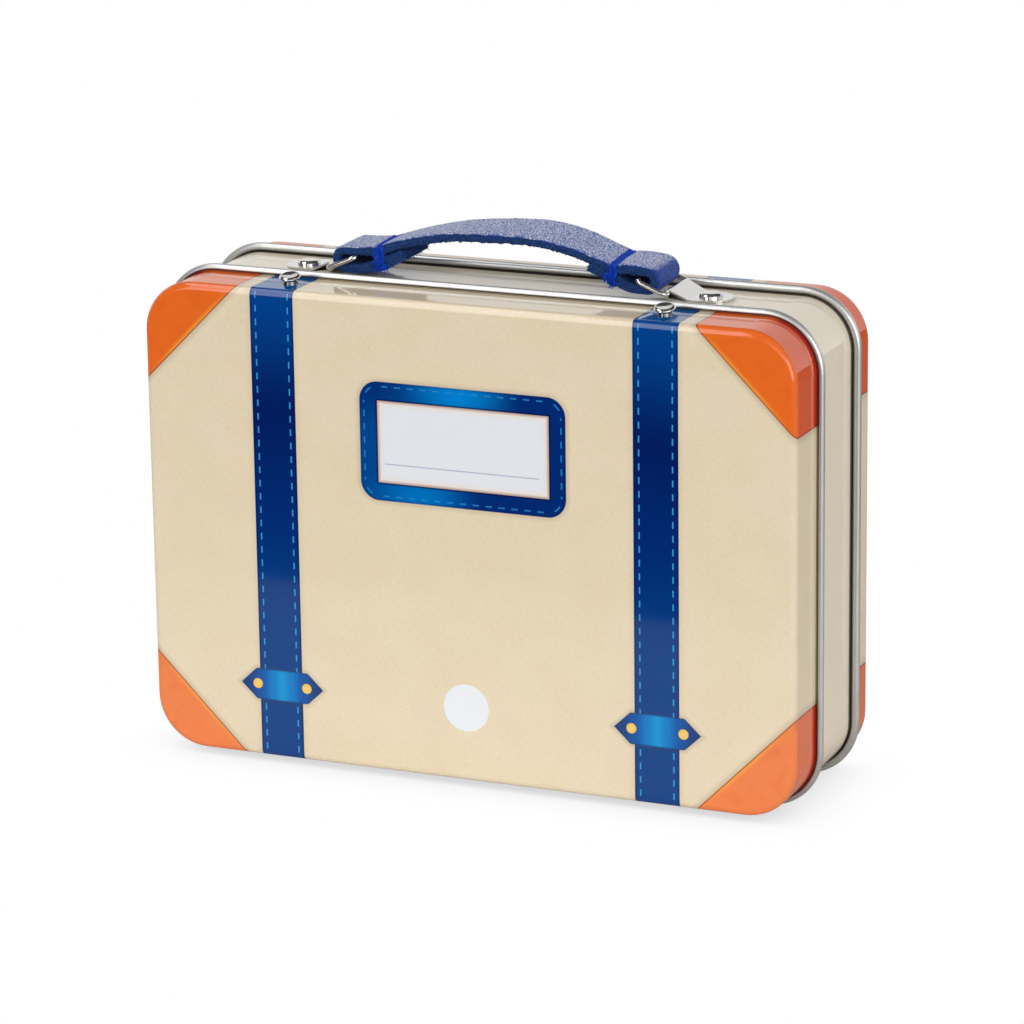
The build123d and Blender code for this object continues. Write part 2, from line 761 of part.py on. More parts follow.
def rules_leaflet():
    """Folded leaflet that lies on the pad."""
    left_x = pad_left_x + binding_width + rules_side_margin
    edge_x = pad_right_x - rules_side_margin
    back_y = pad_front_y - rest_gap - rules_sheet / 2
    fold = (left_x + rules_fold_radius, back_y - rules_fold_radius)
    front_leaf_y = back_y - 2 * rules_fold_radius
    leaf_line = [
        Line((edge_x, back_y), (fold[0], back_y)),
        arc(fold, rules_fold_radius, 90, 270),
        Line((fold[0], front_leaf_y), (edge_x, front_leaf_y)),
    ]
    low_z = upper_low_z + rules_end_margin
    height = upper_high_z - rules_end_margin - low_z
    return extrude(Pos(0, 0, low_z) * trace(leaf_line, rules_sheet), height)


def pencil_shape():
    """Turned shape of the sharpened pencil, along X."""
    outside = pencil_corner_radius + pencil_turning_gap
    shape = Polyline(
        (pencil_left_x, 0),
        (pencil_left_x, pencil_corner_radius - pencil_chamfer),
        (pencil_left_x + pencil_chamfer, outside),
        (pencil_right_x - pencil_tip_length, outside),
        (pencil_right_x, pencil_lead_tip_radius),
        (pencil_right_x, 0),
        close=True,
    )
    return Pos(0, pencil_y, row_z) * revolve(make_face(shape), Axis.X, 360)


def lead_bar():
    """Round bar of graphite, past both ends of the pencil."""
    ends = [(x, pencil_y, row_z) for x in (pencil_left_x - cut_margin, pencil_right_x + cut_margin)]
    return rod(pencil_lead_radius, *ends)


def pencil_lead():
    """Graphite core, with the sharpened point."""
    return lead_bar() & pencil_shape()


def pencil_body():
    """Six-sided wood, sharpened at one end."""
    section = Plane.YZ * Rot(0, 0, 30) * RegularPolygon(pencil_corner_radius, 6)
    bar = extrude(Pos(pencil_x, pencil_y, row_z) * section, pencil_length, both=True)
    return (bar & pencil_shape()) - lead_bar()


def main():
    os.makedirs("parts", exist_ok=True)
    stitching = strap_stitching()
    nodes = {
        "front_cover": front_cover(),
        "rear_cover": rear_cover(),
        "middle_band": middle_band(),
        "hinge_rivets": hinge_rivets(),
        "handle_rivets": handle_rivets(),
        "handle_strap": handle_strap() - stitching,
        "strap_stitching": stitching,
        "insert_tray": insert_tray(),
        "dice_cup": dice_cup(),
        "pad_backing": pad_backing(),
        "pad_sheets": pad_sheets(),
        "pad_binding": pad_binding(),
        "rules_leaflet": rules_leaflet(),
        "pencil_body": pencil_body(),
        "pencil_lead": pencil_lead(),
    }
    for name, side in (("left", -1), ("right", 1)):
        nodes["hinge_leaf_" + name] = hinge_leaf(side)
        nodes["hinge_pin_" + name] = hinge_pin(side)
        nodes["handle_plate_" + name] = handle_plate(side)
        nodes["ring_" + name] = ring(side)
    for name, x in zip(("left", "right"), knob_places):
        nodes["knob_" + name] = knob(x)
    for number, x in enumerate(die_places):
        nodes["die_" + str(number + 1)] = die(x, number % len(die_faces) + 1)
    for name, shape in nodes.items():
        export_step(shape, "parts/" + name + ".step")
        print(name, len(shape.solids()), round(shape.volume, 1))


main()
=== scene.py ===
import math
import random

import bmesh
import bpy
from mathutils import Matrix, Vector, noise


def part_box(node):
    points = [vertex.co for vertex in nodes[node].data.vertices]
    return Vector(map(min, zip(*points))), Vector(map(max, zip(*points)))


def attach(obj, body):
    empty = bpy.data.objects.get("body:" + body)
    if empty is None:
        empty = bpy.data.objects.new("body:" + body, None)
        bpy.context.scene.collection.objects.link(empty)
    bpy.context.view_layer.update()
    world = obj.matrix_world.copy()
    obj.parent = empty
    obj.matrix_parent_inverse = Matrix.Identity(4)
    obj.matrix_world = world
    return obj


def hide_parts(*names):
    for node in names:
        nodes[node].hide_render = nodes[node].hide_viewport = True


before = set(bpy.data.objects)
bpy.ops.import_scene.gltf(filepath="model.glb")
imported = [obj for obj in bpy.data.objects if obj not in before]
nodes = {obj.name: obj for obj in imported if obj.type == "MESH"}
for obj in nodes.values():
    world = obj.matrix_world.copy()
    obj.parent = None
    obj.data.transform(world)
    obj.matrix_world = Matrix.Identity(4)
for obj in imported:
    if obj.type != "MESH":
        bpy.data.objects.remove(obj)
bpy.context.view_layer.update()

# Lengths in this script are millimetres in the part's own frame, and MM turns them into metres.
MM = 0.001

# Camera, at the photograph's viewing angle
camera_place = (508.57, -1159.51, 424.20)
camera_azimuth = 23.612
camera_elevation = 15.503
camera_roll = -0.788
camera_lens = 162.93


def box_of(node):
    """Lowest and highest corner of a CAD node, in millimetres."""
    return [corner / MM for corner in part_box(node)]


# The tin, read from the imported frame
case_low, case_high = box_of("rear_cover")
lid_low, lid_high = box_of("front_cover")
rim_reach = 2.0
wall_x = case_high.x - rim_reach
wall_top = case_high.z - rim_reach
wall_bottom = case_low.z + rim_reach
middle_z = (wall_top + wall_bottom) / 2
half_height = (wall_top - wall_bottom) / 2
case_corner = 15.0
face_bend = 2.0
front_y = lid_low.y
rear_y = case_high.y
rim_radius = 1.15
front_rim_y = lid_high.y - rim_radius
rear_rim_y = case_low.y + rim_radius
rim_start = 0.8

# Share of the bare tinplate that shines as metal does, on the rims and inside
rim_gloss = 0.72
inside_gloss = 0.62

# Roughness of the lacquer, and softness of a printed edge
lacquer = 0.07
print_soft = 0.12

# Printed straps
strap_edges = ((-64.4, -51.0), (50.9, 64.2))
stitch_inset = 1.7
stitch_pitch = 3.896
stitch_start = -0.61
stitch_length = 1.9
stitch_width = 0.42
stitch_soft = 0.08

# Printed keepers that hold the straps, with the places of their two points
keepers = ((-70.35, -44.5), (44.75, 70.6))
keeper_low = 19.05
keeper_high = 28.25
keeper_point = 4.9
keeper_round = 0.5
keeper_dot_inset = 5.2
keeper_dot_radius = 1.5

# Printed label and round panel
label_half_width = 31.1
label_low = 81.7
label_high = 115.9
label_corner = 5.6
label_seam_inset = 1.35
window_left = -25.7
window_right = 26.1
window_low = 86.9
window_high = 110.5
window_corner = 0.2
ruled_line = (-23.5, 23.1, 92.4)
disc_centre = (0.0, 23.7)
disc_radius = 6.9

# Patches of another blue on the label: the colour, the middle, and the reach each way
label_glows = (
    ((0, 48, 120), -30.0, label_high, 22.0, 16.0),
    ((0, 134, 216), -1.0, label_high - 2.0, 20.0, 12.0),
    ((0, 116, 198), -13.0, label_low + 2.5, 19.0, 10.0),
)

# Printed corners, and the heights between which their orange goes from a paler low colour, painted
# reflection of the table, to the upper one
corner_leg = 29.3
corner_reflection_heights = (30.0, 110.0)

# Table, and the reach and depth of the soft shadow that the camera sees on it
table_front = -200.0
table_back = 2500.0
table_side = 2500.0
shadow_reach = 20.0
shadow_depth = 0.36

# Leather handle
leather_width = 16.0
leather_step = 0.35
fold_steps = 18
plate_low, plate_high = box_of("handle_plate_right")
handle_y = (plate_low.y + plate_high.y) / 2
stitch_x = 35.5155
tail_x = 28.0155

# Shares of the leather's half width and half thickness at which its edges start to round
edge_begin = 0.93
side_begin = 0.72

# Thread: turns at each end, points of a turn above and below, loose ends, and knot heights
thread_turns = 7
top_points = 14
low_points = 12
edge_ends = 90
knot_ends = 64
thread_knots = {-1: 143.3, 1: 145.6}
end_taper = (1.0, 1.0, 0.9, 0.8, 0.6, 0.3)

# Fibres that stand out of each tail of the leather, and how a fibre thins
tail_fibres = 150
fibre_taper = (1.0, 0.85, 0.65, 0.25)


class Field:
    """A number that varies over a surface, so that a printed shape can be written as a formula."""

    def __init__(self, tree, socket):
        self.tree = tree
        self.socket = socket

    def op(self, kind, *others):
        node = self.tree.nodes.new("ShaderNodeMath")
        node.operation = kind
        for place, value in enumerate((self,) + others):
            plug(self.tree, value, node.inputs[place])
        return Field(self.tree, node.outputs[0])

    def __add__(self, other):
        return self.op("ADD", other)

    def __sub__(self, other):
        return self.op("SUBTRACT", other)

    def __mul__(self, other):
        return self.op("MULTIPLY", other)

    def __truediv__(self, other):
        return self.op("DIVIDE", other)

    def __neg__(self):
        return self.op("MULTIPLY", -1.0)

    def size(self):
        return self.op("ABSOLUTE")

    def least(self, other):
        return self.op("MINIMUM", other)

    def most(self, other):
        return self.op("MAXIMUM", other)

    def rounded_most(self, other, distance):
        return self.op("SMOOTH_MAX", other, distance)

    def blend(self, other, share):
        """Goes from this field to the other as share goes from 0 to 1."""
        return self + (self.as_field(other) - self) * share

    def opposite(self):
        """0 where this field is 1, and 1 where it is 0."""
        return self * -1.0 + 1.0

    def as_field(self, value):
        """A value as a field on the same surface."""
        return value if isinstance(value, Field) else self * 0.0 + value

    def fade(self, start, end):
        """Rises smoothly from 0 at start to 1 at end; start may be the larger."""
        node = self.tree.nodes.new("ShaderNodeMapRange")
        node.interpolation_type = "SMOOTHSTEP"
        plug(self.tree, self, node.inputs["Value"])
        low, high = sorted((start, end))
        node.inputs["From Min"].default_value = low
        node.inputs["From Max"].default_value = high
        node.inputs["To Min"].default_value = 0.0 if start < end else 1.0
        node.inputs["To Max"].default_value = 1.0 if start < end else 0.0
        return Field(self.tree, node.outputs["Result"])


def plug(tree, value, socket):
    """Links a field or a socket to an input, or writes a plain value into it."""
    if isinstance(value, Field):
        tree.links.new(value.socket, socket)
    elif isinstance(value, bpy.types.NodeSocket):
        tree.links.new(value, socket)
    else:
        socket.default_value = value


def rgb(red, green, blue):
    """Linear colour of an sRGB colour given in 0 to 255."""
    parts = []
    for part in (red, green, blue):
        share = part / 255
        parts.append(share / 12.92 if share <= 0.04045 else ((share + 0.055) / 1.055) ** 2.4)
    return (*parts, 1.0)


def hypotenuse(one, other):
    return (one * one + other * other).op("SQRT")


class Finish:
    """A material in the making. Its x, y and z are the place on the surface, in millimetres."""

    def __init__(self, name):
        self.material = bpy.data.materials.new(name)
        self.material.use_nodes = True
        self.tree = self.material.node_tree
        self.shader = self.tree.nodes["Principled BSDF"]
        self.coordinates = self.tree.nodes.new("ShaderNodeTexCoord")
        split = self.tree.nodes.new("ShaderNodeSeparateXYZ")
        self.tree.links.new(self.coordinates.outputs["Object"], split.inputs[0])
        places = [Field(self.tree, socket) * (1 / MM) for socket in split.outputs]
        self.x, self.y, self.z = places

    def set(self, **values):
        """Sets inputs of the shader, by their names with _ for a space."""
        for name, value in values.items():
            plug(self.tree, value, self.shader.inputs[name.replace("_", " ")])

    def mix(self, base, top, share):
        """Colour that goes from base to top as share goes from 0 to 1."""
        node = self.tree.nodes.new("ShaderNodeMix")
        node.data_type = "RGBA"
        plug(self.tree, share, node.inputs[0])
        plug(self.tree, base, node.inputs[6])
        plug(self.tree, top, node.inputs[7])
        return node.outputs[2]

    def point(self, x=1.0, y=1.0, z=1.0):
        """The place on the surface in millimetres, stretched along each axis."""
        node = self.tree.nodes.new("ShaderNodeMapping")
        self.tree.links.new(self.coordinates.outputs["Object"], node.inputs[0])
        node.inputs["Scale"].default_value = (x / MM, y / MM, z / MM)
        return node.outputs[0]

    def noise(self, size, detail=2.0, stretch=(1.0, 1.0, 1.0), rough=0.5):
        """Noise of about this grain size in millimetres, from 0 to 1."""
        node = self.tree.nodes.new("ShaderNodeTexNoise")
        self.tree.links.new(self.point(*[1 / part for part in stretch]), node.inputs["Vector"])
        node.inputs["Scale"].default_value = 1.0 / size
        node.inputs["Detail"].default_value = detail
        node.inputs["Roughness"].default_value = rough
        return Field(self.tree, node.outputs["Fac"])

    def cells(self, size, stretch=(1.0, 1.0, 1.0)):
        """Distance to the edges of cells of about this size in millimetres."""
        node = self.tree.nodes.new("ShaderNodeTexVoronoi")
        node.feature = "DISTANCE_TO_EDGE"
        self.tree.links.new(self.point(*[1 / part for part in stretch]), node.inputs["Vector"])
        node.inputs["Scale"].default_value = 1.0 / size
        return Field(self.tree, node.outputs["Distance"])

    def bump(self, height, depth, strength=1.0):
        """Bump of a height field, with its depth in millimetres."""
        node = self.tree.nodes.new("ShaderNodeBump")
        node.inputs["Strength"].default_value = strength
        node.inputs["Distance"].default_value = depth * MM
        plug(self.tree, height, node.inputs["Height"])
        self.tree.links.new(node.outputs[0], self.shader.inputs["Normal"])


def rounded_box(x, z, half_x, half_z, corner):
    """Signed distance to a rounded rectangle centred on x = z = 0."""
    over_x = x.size() - (half_x - corner)
    over_z = z.size() - (half_z - corner)
    outside = hypotenuse(over_x.most(0.0), over_z.most(0.0))
    return outside + over_x.most(over_z).least(0.0) - corner


def strip(distance, width, soft):
    """1 within half a width of a line, with soft edges."""
    return distance.fade(width / 2 + soft, width / 2 - soft)


def dashes(along, across):
    """Stitches along a seam: 1 on the thread and 0 between."""
    phase = (along / stitch_pitch).op("FRACT") - 0.5
    length = strip(phase.size() * stitch_pitch, stitch_length, stitch_soft)
    return length * strip(across.size(), stitch_width, stitch_soft)


def print_straps(finish, ground, seams):
    """Two printed straps, on the lid with a line of stitches inside each edge."""
    height = finish.z
    grain = finish.noise(0.9, detail=3.0)
    shade = finish.mix(rgb(0, 30, 98), rgb(0, 68, 146), height.fade(104.0, 139.0))
    shade = finish.mix(rgb(0, 42, 116), shade, height.fade(76.0, 106.0))
    # Lighter blue low down: painted reflection of the table in the lacquer.
    shade = finish.mix(rgb(2, 66, 136), shade, height.fade(38.0, 82.0))
    shade = finish.mix(shade, rgb(0, 50, 134), grain.fade(0.45, 0.85) * 0.22)
    depth = finish.y - front_y
    on_face = depth.fade(2.2, 1.6) * height.fade(wall_top - 0.3, wall_top - 0.9)
    top_highlight = depth.fade(0.8, 2.2) * height.fade(wall_top - 1.6, wall_top - 0.5)
    # Painted highlight: the strap's blue is lighter and more cyan on the top wall.
    shade = finish.mix(shade, rgb(0, 94, 164), top_highlight)
    colour = ground
    for left, right in strap_edges:
        middle = (left + right) / 2
        half = (right - left) / 2
        away = (finish.x - middle).size()
        shadow = away.fade(half + 2.2, half) * 0.10
        colour = finish.mix(colour, rgb(150, 120, 85), shadow)
        edge_shade = finish.mix(shade, rgb(0, 20, 70), away.fade(half - 1.0, half) * 0.55)
        colour = finish.mix(colour, edge_shade, away.fade(half + print_soft, half - print_soft))
        if seams:
            seam = dashes(height - stitch_start, away - (half - stitch_inset)) * on_face
            colour = finish.mix(colour, rgb(62, 164, 226), seam * 0.88)
    return colour


def print_corners(finish, ground, beyond):
    """Printed corners with a dark edge line and a glow beside it; paler low down with painted
    reflection of the table, and deeper red towards the rim with painted shade.
    """
    across = wall_x - corner_leg / 2
    up = (finish.z - middle_z).size()
    slope = finish.x.size() + up
    inside = (slope - (wall_x + half_height - corner_leg)) / math.sqrt(2)
    along = (finish.x.size() - across).size()
    grain = finish.noise(0.7, detail=3.0)
    patch = finish.noise(6.0, detail=1.0)
    upper = finish.mix(rgb(236, 104, 32), rgb(246, 116, 42), grain)
    # Paler orange low down: painted reflection of the table in the lacquer.
    reflected_lower = finish.mix(rgb(240, 128, 68), rgb(250, 142, 84), grain)
    high = finish.z.fade(*corner_reflection_heights)
    orange = finish.mix(reflected_lower, upper, high)
    orange = finish.mix(orange, rgb(226, 92, 34), patch.fade(0.5, 0.75) * 0.25)
    # The walls are also paler low down, with painted reflection of the table.
    wall_orange = finish.mix(rgb(236, 118, 78), rgb(226, 90, 40), high)
    # Deeper red towards the rim: painted shade where the wall meets the rolled rim.
    wall_orange = finish.mix(wall_orange, rgb(206, 52, 26), beyond.fade(-5.5, -1.6))
    walls = finish.mix(orange, wall_orange, up.fade(half_height, half_height - 1.0))
    orange = finish.mix(orange, walls, (finish.y.size() - (rear_y - face_bend)).fade(0.5, -0.5))
    glow = inside.fade(1.7, 0.5) * along.fade(15.0, 3.0)
    orange = finish.mix(orange, rgb(255, 176, 70), glow * 0.62)
    orange = finish.mix(orange, rgb(158, 52, 28), inside.fade(0.5, 0.1))
    shadow = inside.fade(-2.0, 0.0) * 0.26
    colour = finish.mix(ground, rgb(120, 95, 70), shadow)
    return finish.mix(colour, orange, inside.fade(-0.1, 0.12))


def print_keepers(finish, ground):
    """Printed loops that hold the straps, each with a yellow dot near both points."""
    colour = ground
    middle_height = (keeper_low + keeper_high) / 2
    half_tall = (keeper_high - keeper_low) / 2
    slant = math.hypot(keeper_point, half_tall)
    for left, right in keepers:
        middle = (left + right) / 2
        reach = (right - left) / 2
        away = (finish.x - middle).size()
        up = (finish.z - middle_height).size()
        pointed = ((away - reach) * half_tall + up * keeper_point) / slant
        outline = (up - half_tall).rounded_most(pointed, keeper_round)
        shadow = outline.fade(1.6, 0.0) * 0.22
        colour = finish.mix(colour, rgb(60, 58, 62), shadow)
        blue = finish.mix(rgb(22, 64, 128), rgb(8, 88, 168), away.fade(11.0, 6.0))
        blue = finish.mix(blue, rgb(0, 128, 204), away.fade(6.5, 2.5))
        blue = finish.mix(blue, rgb(8, 150, 214), away.fade(2.6, 0.4))
        blue = finish.mix(blue, rgb(10, 40, 98), outline.fade(-0.6, 0.0) * 0.6)
        colour = finish.mix(colour, blue, outline.fade(print_soft, -print_soft))
        dot = hypotenuse(away - (reach - keeper_dot_inset), finish.z - middle_height)
        dot = dot - keeper_dot_radius
        ring = (dot + 0.62).size().fade(0.22, 0.05) * 0.7
        yellow = finish.mix(rgb(252, 214, 112), rgb(238, 184, 84), ring)
        yellow = finish.mix(yellow, rgb(226, 160, 84), dot.fade(-0.32, 0.0) * 0.7)
        colour = finish.mix(colour, yellow, dot.fade(0.1, -0.1))
    return colour


def print_label(finish, ground):
    """Stitched blue label with a bare writing panel and one ruled line."""
    middle_height = (label_low + label_high) / 2
    half_tall = (label_high - label_low) / 2
    up = finish.z - middle_height
    outline = rounded_box(finish.x, up, label_half_width, half_tall, label_corner)
    colour = finish.mix(ground, rgb(120, 92, 60), outline.fade(1.8, 0.0) * 0.22)
    blue = finish.mix(rgb(0, 72, 148), rgb(0, 44, 118), finish.x.fade(-24.0, 12.0))
    for tone, x, z, width, height in label_glows:
        patch = hypotenuse((finish.x - x) / width, (finish.z - z) / height)
        blue = finish.mix(blue, rgb(*tone), patch.fade(1.0, 0.0))
    blue = finish.mix(blue, rgb(0, 26, 88), outline.fade(-0.8, 0.1) * 0.5)
    colour = finish.mix(colour, blue, outline.fade(print_soft, -print_soft))
    thread = label_thread(finish, outline, up, half_tall)
    colour = finish.mix(colour, rgb(44, 146, 214), thread * 0.72)
    across = finish.x - (window_left + window_right) / 2
    upward = finish.z - (window_low + window_high) / 2
    half_wide = (window_right - window_left) / 2
    half_high = (window_high - window_low) / 2
    window = rounded_box(across, upward, half_wide, half_high, window_corner)
    colour = finish.mix(colour, rgb(0, 16, 66), window.fade(0.7, 0.15) * 0.85)
    paper = finish.mix(rgb(238, 241, 246), rgb(242, 236, 232), window.fade(-2.4, -0.8))
    paper = finish.mix(paper, rgb(176, 128, 100), window.fade(-1.1, 0.1) * 0.8)
    line_left, line_right, line_z = ruled_line
    line_x = (line_left + line_right) / 2
    line_half = (line_right - line_left) / 2
    on_line = (finish.x - line_x).size().fade(line_half + 0.1, line_half)
    on_line = on_line * (finish.z - line_z).size().fade(0.22, 0.06)
    paper = finish.mix(paper, rgb(168, 160, 198), on_line * 0.85)
    return finish.mix(colour, paper, window.fade(0.06, -0.08))


def label_thread(finish, outline, up, half_tall):
    """Stitches that follow the label's outline, one round each corner."""
    seam = outline + label_seam_inset
    flat_x = label_half_width - label_corner
    flat_z = half_tall - label_corner
    level = dashes(finish.x + stitch_pitch / 2, seam)
    upright = dashes(up + stitch_pitch / 2, seam)
    straight = level.blend(upright, up.size().fade(flat_z + 0.1, flat_z - 0.1))
    angle = (up.size() - flat_z).op("ARCTAN2", finish.x.size() - flat_x)
    beside = (angle - math.pi / 4).size().fade(0.30, 0.24)
    curved = strip(seam.size(), stitch_width, stitch_soft) * beside
    past_x = finish.x.size().fade(flat_x - 0.2, flat_x + 0.2)
    past_z = up.size().fade(flat_z - 0.2, flat_z + 0.2)
    return straight.blend(curved, past_x * past_z)


def cream_ground(finish):
    """Cream print with a faint weave, fine specks and soft patches."""
    patches = finish.noise(14.0, detail=1.0).fade(0.3, 0.7)
    cream = finish.mix(rgb(236, 219, 188), rgb(239, 223, 193), patches)
    upright = finish.noise(0.5, detail=1.0, stretch=(1.0, 1.0, 3.0)).fade(0.35, 0.75)
    level = finish.noise(0.5, detail=1.0, stretch=(3.0, 1.0, 1.0)).fade(0.35, 0.75)
    speck = finish.noise(0.5, detail=3.0).fade(0.50, 0.8)
    cream = finish.mix(cream, rgb(246, 231, 202), upright * 0.42)
    cream = finish.mix(cream, rgb(226, 206, 172), level * 0.26)
    return finish.mix(cream, rgb(222, 201, 166), speck * 0.22)


def printed_tin(name, way, label):
    """Lacquered print outside, bare tinplate inside and on the rolled rim; way is +1 on the lid."""
    finish = Finish(name)
    face_y = front_y if way > 0 else rear_y
    rim_y = front_rim_y if way > 0 else rear_rim_y
    beyond = (finish.y - rim_y) * way
    colour = print_straps(finish, cream_ground(finish), label)
    colour = print_corners(finish, colour, beyond)
    if label:
        colour = print_keepers(finish, print_label(finish, colour))
        disc = hypotenuse(finish.x - disc_centre[0], finish.z - disc_centre[1]) - disc_radius
        colour = finish.mix(colour, rgb(242, 245, 250), disc.fade(print_soft, -print_soft))
    past_wall = rounded_box(finish.x, finish.z - middle_z, wall_x, half_height, case_corner)
    on_rim = beyond.fade(-rim_start - 0.06, -rim_start + 0.06).most(past_wall.fade(0.20, 0.32))
    outward = past_wall + face_bend
    forward = -((finish.y - face_y) * way) + face_bend
    outside = hypotenuse(outward.most(0.0), forward.most(0.0))
    skin = outside + outward.most(forward).least(0.0) - face_bend
    inner = skin.fade(-0.12, -0.18)
    bare = (on_rim * rim_gloss).most(inner * inside_gloss)
    # Painted shade in the crevice beside the rolled rim.
    crevice_shade = beyond.fade(-rim_start - 0.7, -rim_start - 0.1) * 0.35
    colour = finish.mix(colour, rgb(90, 44, 34), crevice_shade)
    streak = finish.noise(1.2, detail=3.0, stretch=(6.0, 1.0, 6.0))
    metal = finish.mix(rgb(194, 195, 194), rgb(216, 216, 214), streak)
    # Painted shade on the rim's tube where it meets the wall.
    root_shade = past_wall.fade(0.95, 0.55) * beyond.fade(-0.4, -0.8) * on_rim
    metal = finish.mix(metal, rgb(46, 38, 34), root_shade * 0.9)
    finish.set(Base_Color=finish.mix(colour, metal, on_rim.most(inner)), Metallic=bare)
    finish.set(Roughness=bare * 0.38 + lacquer, IOR=1.5)
    ripple = finish.noise(14.0, detail=1.0)
    finish.bump(ripple, 0.05, 0.25)
    return finish.material


def plain_tin():
    """Cream lacquer outside with painted shade in the gap at the rear rim, and bare tinplate
    inside.
    """
    finish = Finish("plain_tin")
    outline = rounded_box(finish.x, finish.z - middle_z, wall_x, half_height, case_corner)
    inside = outline.fade(-0.72, -0.78)
    before_edge = finish.y.fade(front_rim_y - 1.0, front_rim_y - 1.4)
    bare = (before_edge * rim_gloss).most(inside * inside_gloss)
    streak = finish.noise(1.5, detail=3.0, stretch=(6.0, 1.0, 6.0))
    metal = finish.mix(rgb(168, 168, 165), rgb(200, 199, 195), streak)
    cream = finish.mix(rgb(240, 228, 204), rgb(246, 235, 213), finish.noise(7.0))
    # Painted shade in the gap behind the rear rim.
    gap_shade = finish.y.fade(case_low.y - 0.9, case_low.y - 0.15) * 0.85
    cream = finish.mix(cream, rgb(58, 46, 36), gap_shade)
    finish.set(Base_Color=finish.mix(cream, metal, inside.most(before_edge)), Metallic=bare)
    finish.set(Roughness=bare * 0.22 + inside * 0.10 + lacquer, IOR=1.5)
    finish.bump(finish.noise(14.0, detail=1.0), 0.05, 0.25)
    return finish.material


def metal(name, colour, roughness, grain_size, grain_depth, spread=0.06):
    """Polished or brushed metal with fine wear in its gloss."""
    finish = Finish(name)
    wear = finish.noise(grain_size, detail=4.0)
    finish.set(Base_Color=finish.mix(colour, rgb(236, 234, 230), wear * 0.35), Metallic=1.0)
    finish.set(Roughness=wear * spread + (roughness - spread / 2))
    finish.bump(wear, grain_depth, 0.5)
    return finish.material


def knob_finish(node):
    """Bright nickel, with painted shade round the neck under the head."""
    finish = Finish(node + "_nickel")
    low, high = box_of(node)
    middle = (low + high) / 2
    radius = hypotenuse(finish.x - middle.x, finish.y - middle.y)
    # Painted shade round the neck, under the head.
    neck_shade = radius.fade(2.15, 1.95) * finish.z.fade(wall_top + 1.85, wall_top + 1.55)
    wear = finish.noise(0.8, detail=4.0)
    colour = finish.mix(rgb(206, 204, 200), rgb(236, 234, 230), wear * 0.35)
    finish.set(Base_Color=finish.mix(colour, rgb(58, 62, 74), neck_shade * 0.85), Metallic=1.0)
    finish.set(Roughness=wear * 0.06 + 0.04)
    finish.bump(wear, 0.01, 0.5)
    return finish.material


def plastic(name, colour, other, roughness, grain_size, grain_depth):
    """Moulded plastic with a fine surface."""
    finish = Finish(name)
    grain = finish.noise(grain_size, detail=3.0)
    finish.set(Base_Color=finish.mix(colour, other, grain.fade(0.3, 0.7)))
    finish.set(Roughness=grain * 0.1 + roughness)
    finish.bump(grain, grain_depth, 0.6)
    return finish.material


def cup_finish():
    """Navy moulded outside with a leather-like grain, and a felt lining."""
    finish = Finish("cup_navy")
    low, high = box_of("dice_cup")
    middle = (low + high) / 2
    radius = hypotenuse(finish.x - middle.x, finish.y - middle.y)
    base_radius = 20.5
    taper = 4.0
    wall = 0.9
    share = (finish.z - low.z) / (high.z - low.z)
    inner = (radius - (share * taper + base_radius - wall)).fade(0.05, -0.05)
    rim = finish.z.fade(high.z - 3.2, high.z - 2.9)
    lining = inner * rim.opposite() * finish.z.fade(low.z + 1.0, low.z + 1.6)
    grain = finish.cells(1.1)
    felt = finish.noise(0.35, detail=4.0)
    navy = finish.mix(rgb(12, 34, 84), rgb(22, 52, 116), grain.fade(0.0, 0.3))
    lined = finish.mix(rgb(176, 60, 22), rgb(214, 92, 40), felt)
    finish.set(Base_Color=finish.mix(navy, lined, lining), Roughness=lining * 0.5 + 0.38)
    finish.bump(grain.least(0.22) * 3.0 + felt * 0.2, 0.06, 0.6)
    return finish.material


def die_finish(node):
    """Ivory die with dark blue pips."""
    finish = Finish(node + "_ivory")
    low, high = box_of(node)
    middle = (low + high) / 2
    half = (high.x - low.x) / 2
    places = (finish.x, finish.y, finish.z)
    sides = [(place - centre).size() for place, centre in zip(places, middle)]
    widest = sides[0].most(sides[1]).most(sides[2])
    narrowest = sides[0].least(sides[1]).least(sides[2])
    between = sides[0] + sides[1] + sides[2] - widest - narrowest
    pip = widest.fade(half - 0.015, half - 0.05) * between.fade(6.05, 5.9)
    ivory = finish.mix(rgb(238, 232, 214), rgb(246, 242, 228), finish.noise(6.0))
    finish.set(Base_Color=finish.mix(ivory, rgb(10, 34, 92), pip), Roughness=pip * 0.2 + 0.16)
    finish.set(Subsurface_Weight=0.12, Subsurface_Scale=1.0)
    finish.set(Subsurface_Radius=(0.002, 0.0015, 0.001))
    finish.bump(finish.noise(3.0, detail=2.0), 0.02, 0.3)
    return finish.material


